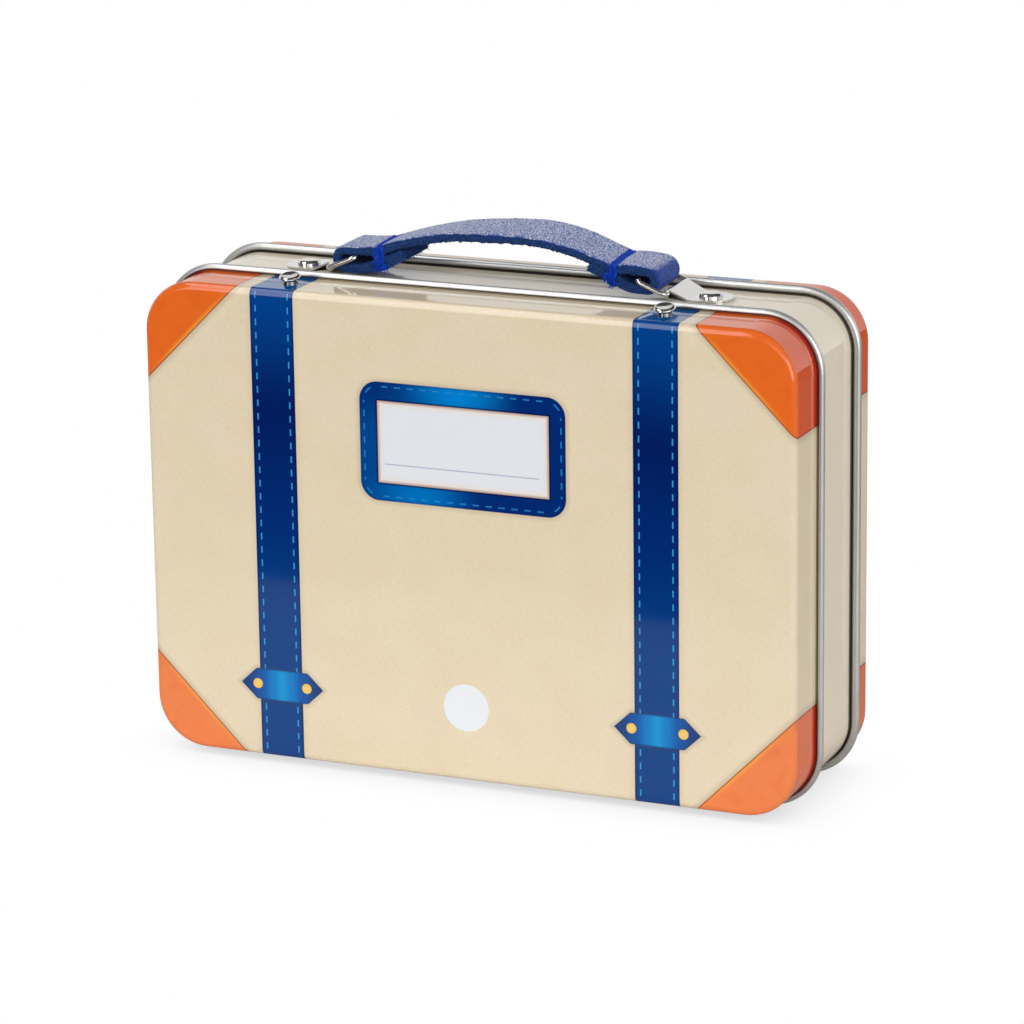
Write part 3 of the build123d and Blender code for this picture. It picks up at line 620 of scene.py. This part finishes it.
def score_finish():
    """Top sheet of the pad: a plain ruled table, and fine sheet edges on the sides."""
    finish = Finish("score_sheets")
    low, high = box_of("pad_sheets")
    paper = finish.mix(rgb(242, 240, 233), rgb(250, 249, 244), finish.noise(0.5, detail=4.0))
    left = low.x + 11.0
    right = high.x - 6.0
    bottom = low.z + 7.0
    top = high.z - 12.0
    row = 4.1
    column = 14.5
    across = ((finish.x - left) / column).op("FRACT") - 0.5
    upward = ((finish.z - bottom) / row).op("FRACT") - 0.5
    on_column = ((across.size() - 0.5) * column).fade(-0.22, -0.08)
    on_row = ((upward.size() - 0.5) * row).fade(-0.2, -0.08)
    half_wide = (right - left) / 2
    half_tall = (top - bottom) / 2
    inside = (finish.x - (left + right) / 2).size().fade(half_wide + 0.1, half_wide)
    inside = inside * (finish.z - (bottom + top) / 2).size().fade(half_tall + 0.1, half_tall)
    lines = on_column.most(on_row) * inside
    head = finish.z.fade(top - 4.2, top - 4.1) * inside
    face = finish.y.fade(low.y + 0.05, low.y + 0.02)
    printed = finish.mix(paper, rgb(206, 222, 240), head)
    printed = finish.mix(printed, rgb(60, 96, 160), lines)
    edges = finish.noise(0.12, detail=1.0, stretch=(400.0, 1.0, 400.0))
    side = finish.mix(rgb(214, 211, 202), rgb(250, 249, 245), edges.fade(0.35, 0.65))
    finish.set(Base_Color=finish.mix(side, printed, face), Roughness=0.85)
    finish.bump(edges * face.opposite() + finish.noise(0.4, detail=3.0) * 0.2, 0.05, 0.7)
    return finish.material


def leaflet_finish():
    """Folded sheet with a plain band and rows of thin rules."""
    finish = Finish("leaflet_paper")
    low, high = box_of("rules_leaflet")
    paper = finish.mix(rgb(240, 238, 232), rgb(248, 247, 243), finish.noise(0.5, detail=4.0))
    middle_x = (low.x + high.x) / 2
    half = (high.x - low.x) / 2
    band = finish.z.fade(high.z - 14.1, high.z - 14.0) * finish.z.fade(high.z - 5.0, high.z - 5.1)
    band = band * (finish.x - middle_x).size().fade(half - 5.9, half - 6.0)
    rows = (((finish.z - low.z) / 3.4).op("FRACT") - 0.5).size().fade(0.09, 0.05)
    column = ((finish.x - middle_x).size() - half / 2).size()
    rows = rows * column.fade(half / 2 - 6.0, half / 2 - 6.2)
    rows = rows * finish.z.fade(high.z - 18.0, high.z - 18.2)
    rows = rows * finish.z.fade(low.z + 5.0, low.z + 5.2)
    colour = finish.mix(paper, rgb(232, 112, 52), band)
    colour = finish.mix(colour, rgb(150, 156, 172), rows)
    finish.set(Base_Color=colour, Roughness=0.8)
    finish.bump(finish.noise(0.5, detail=3.0), 0.02, 0.5)
    return finish.material


def board_finish():
    """Grey board with short fibres."""
    finish = Finish("grey_board")
    fibre = finish.noise(0.5, detail=5.0, stretch=(3.0, 1.0, 1.0))
    finish.set(Base_Color=finish.mix(rgb(150, 141, 128), rgb(196, 188, 174), fibre), Roughness=0.9)
    finish.bump(fibre, 0.05, 0.8)
    return finish.material


def tape_finish():
    """Woven orange binding tape."""
    finish = Finish("woven_tape")
    warp = (finish.z / 0.42).op("FRACT") - 0.5
    weft = ((finish.x + finish.y) / 0.42).op("FRACT") - 0.5
    weave = warp.size().most(weft.size())
    colour = finish.mix(rgb(172, 66, 26), rgb(224, 110, 52), weave.fade(0.1, 0.5))
    finish.set(Base_Color=colour, Roughness=0.75)
    finish.bump(weave, 0.08, 0.8)
    return finish.material


def pencil_finish():
    """Orange lacquer on the six flats, bare wood where the pencil is sharpened or cut."""
    finish = Finish("pencil_lacquer")
    low, high = box_of("pencil_body")
    middle = (low + high) / 2
    flat = (high.y - low.y) / 2
    y = finish.y - middle.y
    z = finish.z - middle.z
    rise = z * math.sqrt(0.75)
    slanted = (y * 0.5 + rise).size().most((y * 0.5 - rise).size())
    depth = y.size().most(slanted) - flat
    wood = depth.fade(-0.02, -0.07).most(finish.x.fade(low.x + 0.4, low.x + 0.3))
    ring = finish.noise(0.5, detail=4.0, stretch=(14.0, 1.0, 1.0))
    grain = finish.mix(rgb(206, 158, 104), rgb(232, 194, 146), ring)
    band = finish.x.fade(low.x + 9.0, low.x + 8.9) * finish.x.fade(low.x + 3.0, low.x + 3.1)
    paint = finish.mix(rgb(224, 98, 32), rgb(20, 60, 140), band)
    finish.set(Base_Color=finish.mix(paint, grain, wood), Roughness=wood * 0.45 + 0.2)
    finish.bump(ring * wood + finish.noise(2.0) * 0.3, 0.04, 0.5)
    return finish.material


def leather_finish():
    """Pebbled blue leather, with a painted pale sheen on upward-facing tops of its grain."""
    finish = Finish("blue_leather")
    pebble = finish.cells(0.74, stretch=(1.25, 1.0, 1.0))
    fine = finish.noise(0.42, detail=3.0)
    wide = finish.noise(7.0, detail=2.0)
    crown = pebble.fade(0.05, 0.17) * fine.fade(0.36, 0.56)
    split = finish.tree.nodes.new("ShaderNodeSeparateXYZ")
    finish.tree.links.new(finish.coordinates.outputs["Normal"], split.inputs[0])
    # Painted sheen: upward-facing leather is paler, nearly white on the crowns of the grain.
    top_sheen = Field(finish.tree, split.outputs[2]).fade(0.60, 0.95)
    raised = finish.mix(rgb(16, 92, 216), rgb(244, 246, 254), top_sheen)
    hollow = finish.mix(rgb(2, 38, 130), rgb(88, 114, 188), top_sheen)
    colour = finish.mix(hollow, raised, crown)
    colour = finish.mix(colour, rgb(90, 112, 180), wide.fade(0.45, 0.8) * 0.30)
    finish.set(Base_Color=colour, Roughness=fine * 0.22 + 0.26, Specular_IOR_Level=0.26)
    finish.set(Sheen_Weight=0.04, Sheen_Roughness=0.35, Sheen_Tint=(0.86, 0.88, 1.0, 1.0))
    finish.bump(pebble.least(0.20) * 4.0 + fine * 0.8, 0.20, 1.0)
    return finish.material


def cut_edge_finish():
    """Raw edge and back of the leather: dark, dull and full of short fibres."""
    finish = Finish("leather_cut_edge")
    fibre = finish.noise(0.34, detail=5.0, stretch=(1.8, 1.0, 1.0), rough=0.75)
    light = finish.noise(0.55, detail=5.0, rough=0.85)
    colour = finish.mix(rgb(6, 26, 66), rgb(46, 84, 150), fibre.fade(0.32, 0.70))
    colour = finish.mix(colour, rgb(110, 168, 214), light.fade(0.60, 0.76) * 0.55)
    finish.set(Base_Color=colour, Roughness=0.95, Specular_IOR_Level=0.2)
    finish.bump(fibre + light * 0.6, 0.30, 1.0)
    return finish.material


def thread_finish():
    """Twisted bright blue thread."""
    finish = Finish("blue_thread")
    strand = finish.noise(0.24, detail=3.0, stretch=(1.0, 2.2, 1.0))
    finish.set(Base_Color=finish.mix(rgb(0, 26, 120), rgb(10, 88, 232), strand.fade(0.32, 0.64)))
    finish.set(Roughness=0.7, Specular_IOR_Level=0.25)
    finish.bump(strand, 0.14, 1.0)
    return finish.material


def graphite_finish():
    """Dark graphite with a dull metal shine."""
    finish = Finish("graphite")
    grain = finish.noise(0.3, detail=3.0)
    finish.set(Base_Color=finish.mix(rgb(38, 38, 42), rgb(70, 70, 76), grain))
    finish.set(Metallic=0.4, Roughness=0.42)
    finish.bump(grain, 0.02, 0.5)
    return finish.material


def dress(node, material):
    """Gives a CAD node one material on all of its slots."""
    piece = nodes[node]
    if not piece.material_slots:
        piece.data.materials.append(material)
    for place in piece.material_slots:
        place.material = material


def dress_nodes():
    """Finishes of every CAD node that stays."""
    bright = metal("bright_nickel", rgb(206, 204, 200), 0.07, 0.8, 0.01)
    satin = metal("satin_nickel", rgb(228, 227, 224), 0.26, 0.25, 0.03, spread=0.14)
    wire = metal("bright_wire", rgb(204, 203, 200), 0.12, 0.5, 0.01)
    steel = metal("plain_steel", rgb(170, 170, 168), 0.32, 0.6, 0.02)
    dress("front_cover", printed_tin("printed_lid", 1, True))
    dress("rear_cover", printed_tin("printed_rear", -1, False))
    dress("middle_band", plain_tin())
    for side in ("left", "right"):
        dress("knob_" + side, knob_finish("knob_" + side))
        dress("handle_plate_" + side, satin)
        dress("ring_" + side, wire)
        dress("hinge_leaf_" + side, steel)
        dress("hinge_pin_" + side, steel)
    dress("handle_rivets", bright)
    dress("hinge_rivets", bright)
    tray = plastic("tray_cream", rgb(216, 204, 180), rgb(226, 215, 192), 0.42, 0.8, 0.02)
    dress("insert_tray", tray)
    dress("dice_cup", cup_finish())
    for number in range(1, 6):
        dress("die_" + str(number), die_finish("die_" + str(number)))
    dress("pad_sheets", score_finish())
    dress("pad_backing", board_finish())
    dress("pad_binding", tape_finish())
    dress("rules_leaflet", leaflet_finish())
    dress("pencil_body", pencil_finish())
    dress("pencil_lead", graphite_finish())


def smooth_line(points, step):
    """Points about step apart on a smooth curve through the given ones."""
    ends = [points[0] * 2 - points[1], *points, points[-1] * 2 - points[-2]]
    line = []
    for before, start, end, after in zip(ends, ends[1:], ends[2:], ends[3:]):
        count = max(2, round((end - start).length / step))
        for number in range(count):
            t = number / count
            bend = (before * -1 + start * 3 - end * 3 + after) * t ** 3
            bend += (before * 2 - start * 5 + end * 4 - after) * t ** 2
            line.append((bend + (end - before) * t + start * 2) / 2)
    line.append(points[-1].copy())
    return line


def half_strap(side):
    """Middle line of the leather on one side, from the middle of the arch to the tail.

    The points carry the leather's thickness in their y.
    """
    if side > 0:
        over = [(0, 154.10, 2.6), (9, 154.25, 2.6), (16, 153.60, 2.6), (22, 152.35, 2.6)]
        over += [(27, 150.80, 2.6), (31.5, 149.15, 2.7), (stitch_x, 147.95, 3.0)]
        over += [(39.6, 147.95, 3.0), (43.0, 147.85, 3.0)]
        centre = (45.2, 144.9)
        turn_radius = 2.75
        ends = (2.8, 2.6)
        under = [(42.0, 142.35, 2.7), (39.2, 143.0, 3.0), (stitch_x, 144.75, 3.2)]
        under += [(31.5, 146.5, 3.0), (tail_x, 147.95, 2.6)]
    else:
        over = [(0, 154.10, 2.6), (9, 153.60, 2.6), (16, 152.70, 2.6), (22, 151.50, 2.6)]
        over += [(27, 150.25, 2.6), (31.5, 148.85, 2.8), (stitch_x, 147.40, 3.2)]
        over += [(39.6, 146.95, 2.7), (42.5, 146.80, 2.4)]
        centre = (46.3, 144.05)
        turn_radius = 2.7
        ends = (2.4, 2.8)
        under = [(41.0, 141.6, 2.9), (38.2, 142.2, 3.2), (stitch_x, 143.35, 3.5)]
        under += [(31.7, 144.9, 3.4), (tail_x, 146.6, 2.9)]
    top = smooth_line([Vector((side * x, thick, z)) for x, z, thick in over], leather_step)
    fold = []
    for number in range(fold_steps + 1):
        share = number / fold_steps
        turn = math.radians(90 - 180 * share)
        x = centre[0] + turn_radius * math.cos(turn)
        z = centre[1] + turn_radius * math.sin(turn)
        fold.append(Vector((side * x, ends[0] + (ends[1] - ends[0]) * share, z)))
    low = smooth_line([Vector((side * x, thick, z)) for x, z, thick in under], leather_step)
    return top + fold + low


def strap_roll(x):
    """Lean of the leather about its length, in radians; its rear edge is higher in the middle."""
    lean = 7.6 * math.exp(-((x - 12.0) / 27.0) ** 2)
    if x > 24.0:
        lean = max(lean, 3.6 - (x - 24.0) * 0.06)
    return math.radians(max(lean, 0.6))


def strap_frames():
    """Places along the leather with their sideways and outward directions and thickness."""
    left = half_strap(-1)
    right = half_strap(1)
    line = left[::-1] + right[1:]
    flat = Vector((1, 0, 1))
    frames = []
    for number, place in enumerate(line):
        before = line[max(number - 1, 0)]
        after = line[min(number + 1, len(line) - 1)]
        along = ((after - before) * flat).normalized()
        outward = Vector((0, 1, 0)).cross(along) * -1
        turn = Matrix.Rotation(strap_roll(place.x), 3, "X")
        across = turn @ Vector((0, 1, 0))
        outward = (turn @ outward).normalized()
        frames.append((Vector((place.x, handle_y, place.z)), across, outward, place.y))
    return frames


def leather_section():
    """Points round the leather's section, as (across, outward, kind), from -1 to 1 each way."""
    points = []
    top_count = 22
    side_count = 6
    for number in range(top_count + 1):
        points.append((-1 + 2 * number / top_count, 1.0, "grain"))
    for number in range(1, side_count):
        points.append((1.0, 1 - 2 * number / side_count, "edge"))
    for number in range(top_count + 1):
        points.append((1 - 2 * number / top_count, -1.0, "back"))
    for number in range(1, side_count):
        points.append((-1.0, -1 + 2 * number / side_count, "edge"))
    return points


def past(value, begin):
    """0 up to begin, and from there rising to 1 at 1."""
    return max(0.0, (value - begin) / (1 - begin))


def leather_point(frame_here, across, outward, kind):
    """One point on the leather, with round edges, a pinch at the thread and a ragged underside."""
    place, sideways, normal, thick = frame_here
    half_width = leather_width / 2
    near_edge = past(abs(across), edge_begin)
    near_side = past(abs(outward), side_begin)
    width = half_width * across
    height = thick / 2 * outward
    if kind == "grain":
        height -= 0.30 * near_edge ** 2 + 0.10 * abs(across) ** 4
    if kind == "edge" and outward > 0:
        width -= math.copysign(0.26 * near_side ** 2, across)
    if kind == "back":
        width -= math.copysign(0.15 * near_edge ** 2, across)
    pinch = math.exp(-((abs(place.x) - stitch_x) / 1.25) ** 2)
    width *= 1 - 0.055 * pinch
    if kind == "grain":
        height -= 0.55 * pinch
    spot = place + sideways * width + normal * height
    coarse = noise.noise(spot * 0.9) * 0.16
    fine = noise.noise(spot * 2.3) * 0.15 + noise.noise(spot * 5.0) * 0.07
    if kind == "edge":
        ragged = 0.45 + max(0.0, -outward) * 1.4
        spot += sideways * math.copysign(fine * ragged, across)
        spot += normal * ((coarse + fine) * max(0.0, -outward) * 1.8)
    elif kind == "back":
        spot += normal * ((coarse + fine) * (0.5 + 1.3 * abs(across) ** 6))
    else:
        spot += normal * (noise.noise(spot * 0.55) * 0.10)
    return spot * MM


def make_object(name, mesh, body):
    """Links a mesh as a piece that rides on a body."""
    piece = bpy.data.objects.new(name, mesh)
    bpy.context.scene.collection.objects.link(piece)
    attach(piece, body)
    return piece


def make_strap():
    """The leather handle: one folded strap with raw edges."""
    frames = strap_frames()
    section = leather_section()
    mesh = bpy.data.meshes.new("leather_handle")
    build = bmesh.new()
    rings = []
    for here in frames:
        rings.append([build.verts.new(leather_point(here, *point)) for point in section])
    count = len(section)
    for one, other in zip(rings, rings[1:]):
        for number in range(count):
            following = (number + 1) % count
            quad = (one[number], other[number], other[following], one[following])
            face = build.faces.new(quad)
            grain = section[number][2] == "grain" and section[following][2] == "grain"
            face.material_index = 0 if grain else 1
    for ring in (rings[0], rings[-1]):
        middle = build.verts.new(sum((vertex.co for vertex in ring), Vector()) / count)
        for number in range(count):
            face = build.faces.new((ring[number], ring[(number + 1) % count], middle))
            face.material_index = 1
    finish_mesh(build, mesh)
    mesh.materials.append(leather_finish())
    mesh.materials.append(cut_edge_finish())
    piece = make_object("leather_handle", mesh, "handle")
    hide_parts("handle_strap")
    return frames


def tube(build, line, radii, sides=6, closed=False):
    """Adds a thin tube along a line of points, with a radius at each."""
    rings = []
    count = len(line)
    for number, place in enumerate(line):
        before = line[number - 1] if number or closed else line[0]
        after = line[(number + 1) % count] if number + 1 < count or closed else line[-1]
        along = (after - before).normalized()
        first = along.cross(Vector((0.31, 0.52, 0.79))).normalized()
        second = along.cross(first)
        ring = []
        for side in range(sides):
            turn = 2 * math.pi * side / sides
            offset = (first * math.cos(turn) + second * math.sin(turn)) * radii[number]
            ring.append(build.verts.new((place + offset) * MM))
        rings.append(ring)
    pairs = list(zip(rings, rings[1:]))
    if closed:
        pairs.append((rings[-1], rings[0]))
    for one, other in pairs:
        for side in range(sides):
            following = (side + 1) % sides
            build.faces.new((one[side], one[following], other[following], other[side]))
    if not closed:
        build.faces.new(rings[0][::-1])
        build.faces.new(rings[-1])


def nearest_frame(frames, x, high):
    """The frame of the upper or lower ply nearest to an X place."""
    ply = [here for here in frames if (here[2].z > 0) == high]
    return min(ply, key=lambda here: abs(here[0].x - x))


def winding(draw, frames, x, wind):
    """One closed turn of thread round both plies."""
    top_place, across, normal, top_thick = nearest_frame(frames, x, True)
    low_place, _, low_normal, low_thick = nearest_frame(frames, x, False)
    drift = draw.uniform(-0.6, 0.6)
    half = leather_width / 2 - 0.42
    line = []
    for number in range(top_points):
        share = -1 + 2 * number / (top_points - 1)
        lift = 0.10 * math.sin(3 * share + wind) - 0.42 * past(abs(share), 0.86) ** 2
        spot = top_place + across * (share * half) + normal * (top_thick / 2 - 0.30 + lift)
        line.append(spot + Vector((drift * share * 0.5, 0, 0)))
    middle = (line[-1] + low_place + across * half) / 2
    line.append(Vector((line[-1].x, middle.y + 0.45, middle.z + 0.6)))
    for number in range(low_points):
        share = 1 - 2 * number / (low_points - 1)
        spot = low_place + across * (share * half) + low_normal * (low_thick / 2 + 0.12)
        line.append(spot + Vector((drift * share * -0.5, 0, 0)))
    low_front = line[-1]
    for share in (0.3, 0.7):
        bulge = Vector((draw.uniform(-0.25, 0.25), -0.45, 0))
        line.append(low_front.lerp(line[0], share) + bulge)
    return line


def scatter(draw, *ranges):
    """A vector with each part drawn at random from its own range."""
    return Vector([draw.uniform(*part) for part in ranges])


def make_stitching(frames):
    """Thread wound round both plies at each end, with loose ends at the front."""
    draw = random.Random(7)
    mesh = bpy.data.meshes.new("handle_thread")
    build = bmesh.new()
    for side in (-1, 1):
        for wind in range(thread_turns):
            x = side * stitch_x + (wind - thread_turns // 2) * 0.40 + draw.uniform(-0.26, 0.26)
            line = winding(draw, frames, x, wind)
            radii = [0.27 * draw.uniform(0.60, 1.30) for _ in line]
            tube(build, line, radii, sides=7, closed=True)
        top_place, across, _, _ = nearest_frame(frames, side * stitch_x, True)
        edge = top_place - across * (leather_width / 2 - 0.1)
        for _ in range(edge_ends):
            start = edge + scatter(draw, (-1.5, 1.5), (-0.5, 0.1), (-5.6, 0.9))
            heading = scatter(draw, (-0.9, 0.9), (-0.9, -0.1), (-0.9, 0.25))
            loose_end(build, draw, start, heading, draw.uniform(0.5, 1.5))
        knot = Vector((side * (stitch_x - 1.2), edge.y - 0.2, thread_knots[side]))
        for _ in range(knot_ends):
            start = knot + scatter(draw, (-0.9, 0.9), (-0.4, 0.3), (-0.8, 0.9))
            heading = scatter(draw, (-0.5, 0.7), (-0.6, 0.1), (-0.9, 0.1))
            heading.x *= -side
            loose_end(build, draw, start, heading, draw.uniform(0.9, 2.6))
    finish_mesh(build, mesh)
    mesh.materials.append(thread_finish())
    piece = make_object("handle_thread", mesh, "handle")
    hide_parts("strap_stitching")


def loose_end(build, draw, start, heading, length):
    """One short end of thread that bends down a little."""
    sway = Vector((draw.uniform(-0.12, 0.12), draw.uniform(-0.12, 0.12), -0.06))
    line = []
    for step in range(len(end_taper)):
        share = step / (len(end_taper) - 1)
        line.append(start + heading * (length * share) + sway * share ** 2 * length)
    thick = draw.uniform(0.09, 0.16)
    tube(build, line, [thick * share for share in end_taper], sides=5)


def finish_mesh(build, mesh):
    """Turns the faces outward, smooths them and writes them to the mesh."""
    bmesh.ops.recalc_face_normals(build, faces=build.faces)
    for face in build.faces:
        face.smooth = True
    build.to_mesh(mesh)
    build.free()


def make_fibres(frames):
    """Short fibres that stand out of the leather's raw lower edges and tail ends."""
    draw = random.Random(23)
    mesh = bpy.data.meshes.new("leather_fibres")
    build = bmesh.new()
    for place, across, normal, thick in frames:
        along = across.cross(normal)
        for edge in (-1, -1, 1):
            if draw.random() > 0.75:
                continue
            start = place + across * (edge * (leather_width / 2 - 0.1)) - normal * (thick / 2 - 0.1)
            start += normal * draw.uniform(0.0, 1.3) + along * draw.uniform(-0.3, 0.3)
            heading = normal * draw.uniform(-1.0, 0.1) + across * (edge * draw.uniform(0.1, 0.7))
            heading += along * draw.uniform(-0.9, 0.9)
            fibre(build, start, heading, draw.uniform(0.3, 0.95), 0.075)
    for place, across, normal, thick in (frames[0], frames[-1]):
        inward = Vector((-math.copysign(1.0, place.x), 0, 0))
        for _ in range(tail_fibres):
            start = place + across * (draw.uniform(-1.0, 1.0) * leather_width / 2)
            start += normal * (draw.uniform(-0.5, 0.5) * thick) - inward * draw.uniform(0.0, 0.8)
            heading = inward * draw.uniform(0.3, 1.0)
            heading += Vector((0, draw.uniform(-0.4, 0.3), draw.uniform(-0.7, 0.25)))
            fibre(build, start, heading, draw.uniform(0.6, 1.9), 0.10)
    finish_mesh(build, mesh)
    mesh.materials.append(cut_edge_finish())
    make_object("leather_fibres", mesh, "handle")


def fibre(build, start, heading, length, thick):
    """One straight fibre that thins towards its end."""
    last = len(fibre_taper) - 1
    line = [start + heading * (length * step / last) for step in range(last + 1)]
    tube(build, line, [thick * share for share in fibre_taper], sides=4)


def ray_kinds(tree):
    """1 on rays from the camera, and 1 on rays that mirrors or glass send on."""
    path = tree.nodes.new("ShaderNodeLightPath")
    camera = Field(tree, path.outputs["Is Camera Ray"])
    glossy = Field(tree, path.outputs["Is Glossy Ray"])
    return camera, glossy.most(Field(tree, path.outputs["Is Transmission Ray"]))


def make_stage():
    """White table that lights the tin from below and keeps its soft shadow.

    The camera sees only the shadow on it, so the lid stays in sight where it swings below it.
    From underneath it lets the light through. Mirrors find it darker away from the tin.
    """
    corners = [
        (-table_side, table_front, 0),
        (table_side, table_front, 0),
        (table_side, table_back, 0),
        (-table_side, table_back, 0),
    ]
    mesh = bpy.data.meshes.new("table")
    mesh.from_pydata([Vector(corner) * MM for corner in corners], [], [(0, 1, 2, 3)])
    table = bpy.data.objects.new("table", mesh)
    bpy.context.scene.collection.objects.link(table)
    finish = Finish("white_table")
    tree = finish.tree
    camera, mirrored = ray_kinds(tree)
    before = finish.y.fade(150.0, 40.0)
    beside = finish.x.fade(110.0, 200.0)
    white = mirrored * (before * (beside * 0.35 + 0.30) - 0.60) + 0.90
    finish.set(Base_Color=grey(tree, white), Roughness=0.9, Specular_IOR_Level=0.0)
    cover = tree.nodes.new("ShaderNodeAmbientOcclusion")
    cover.samples = 24
    cover.inputs["Distance"].default_value = shadow_reach * MM
    covered = Field(tree, cover.outputs["AO"]).opposite()
    shade = covered * covered * -shadow_depth + 1.0
    clear = tree.nodes.new("ShaderNodeBsdfTransparent")
    tree.links.new(grey(tree, (shade - 1.0) * camera + 1.0), clear.inputs["Color"])
    geometry = tree.nodes.new("ShaderNodeNewGeometry")
    unseen = camera.most(Field(tree, geometry.outputs["Backfacing"]))
    choice = tree.nodes.new("ShaderNodeMixShader")
    tree.links.new(unseen.socket, choice.inputs[0])
    tree.links.new(finish.shader.outputs[0], choice.inputs[1])
    tree.links.new(clear.outputs[0], choice.inputs[2])
    tree.links.new(choice.outputs[0], tree.nodes["Material Output"].inputs["Surface"])
    mesh.materials.append(finish.material)


def grey(tree, value):
    """A field as a grey colour."""
    node = tree.nodes.new("ShaderNodeCombineXYZ")
    for socket in node.inputs:
        plug(tree, value, socket)
    return node.outputs[0]


def make_world():
    """White to the camera; to the tin a plain room with a pale low background behind it."""
    world = bpy.data.worlds.new("studio")
    bpy.context.scene.world = world
    world.use_nodes = True
    tree = world.node_tree
    background = tree.nodes["Background"]
    coordinates = tree.nodes.new("ShaderNodeTexCoord")
    split = tree.nodes.new("ShaderNodeSeparateXYZ")
    tree.links.new(coordinates.outputs["Generated"], split.inputs[0])
    back = Field(tree, split.outputs[1])
    up = Field(tree, split.outputs[2])
    right = Field(tree, split.outputs[0]).fade(0.25, 0.70)
    behind = back.fade(-0.05, 0.12)
    low = up.fade(0.62, 0.52)
    above = up.fade(-0.01, 0.01)
    front_mirror = above * 0.15 + right * 0.45 + 0.02
    back_mirror = low * 0.85 + 0.08
    mirror = front_mirror.blend(back_mirror, behind)
    spread = (above * low * behind) * 0.60 + 0.20
    camera, mirrored = ray_kinds(tree)
    strength = spread.blend(mirror, mirrored).blend(1.0, camera)
    background.inputs["Color"].default_value = (1.0, 1.0, 1.0, 1.0)
    tree.links.new(strength.socket, background.inputs["Strength"])


def make_lamp(name, place, aim, size, power):
    """A flat soft light that the camera doesn't see."""
    data = bpy.data.lights.new(name, "AREA")
    data.shape = "RECTANGLE"
    data.size = size[0] * MM
    data.size_y = size[1] * MM
    data.energy = power
    lamp = bpy.data.objects.new(name, data)
    bpy.context.scene.collection.objects.link(lamp)
    lamp.location = Vector(place) * MM
    lamp.rotation_mode = "QUATERNION"
    lamp.rotation_quaternion = (Vector(aim) - Vector(place)).to_track_quat("-Z", "Y")
    lamp.visible_camera = False


def make_lights():
    """Two long soft lights that meet in the upper front bend, one on the right, one in front."""
    make_lamp("front_left", (-650, -1500, 675), (-650, 0, 675), (700, 1250), 8.75)
    make_lamp("overhead", (-625, -650, 1200), (-625, -650, 0), (450, 1700), 7.6)
    make_lamp("right", (1150, -800, 420), (0, 0, 70), (900, 800), 8.2)
    make_lamp("fill", (500, -1500, 700), (0, 0, 70), (900, 700), 2.6)


def make_camera():
    """Camera with the photograph's place, direction and lens."""
    data = bpy.data.cameras.new("camera")
    data.lens = camera_lens
    data.sensor_width = 36.0
    data.clip_start = 0.05
    data.clip_end = 20.0
    camera = bpy.data.objects.new("camera", data)
    bpy.context.scene.collection.objects.link(camera)
    azimuth = math.radians(camera_azimuth)
    elevation = math.radians(camera_elevation)
    level = math.cos(elevation)
    back = Vector((math.sin(azimuth) * level, -math.cos(azimuth) * level, math.sin(elevation)))
    roll = Matrix.Rotation(math.radians(camera_roll), 3, "Z")
    turn = (-back).to_track_quat("-Z", "Y").to_matrix() @ roll
    camera.matrix_world = Matrix.Translation(Vector(camera_place) * MM) @ turn.to_4x4()
    bpy.context.scene.camera = camera


def main():
    bpy.context.scene.view_settings.view_transform = "Standard"
    make_camera()
    make_stage()
    make_world()
    make_lights()
    dress_nodes()
    frames = make_strap()
    make_stitching(frames)
    make_fibres(frames)


main()
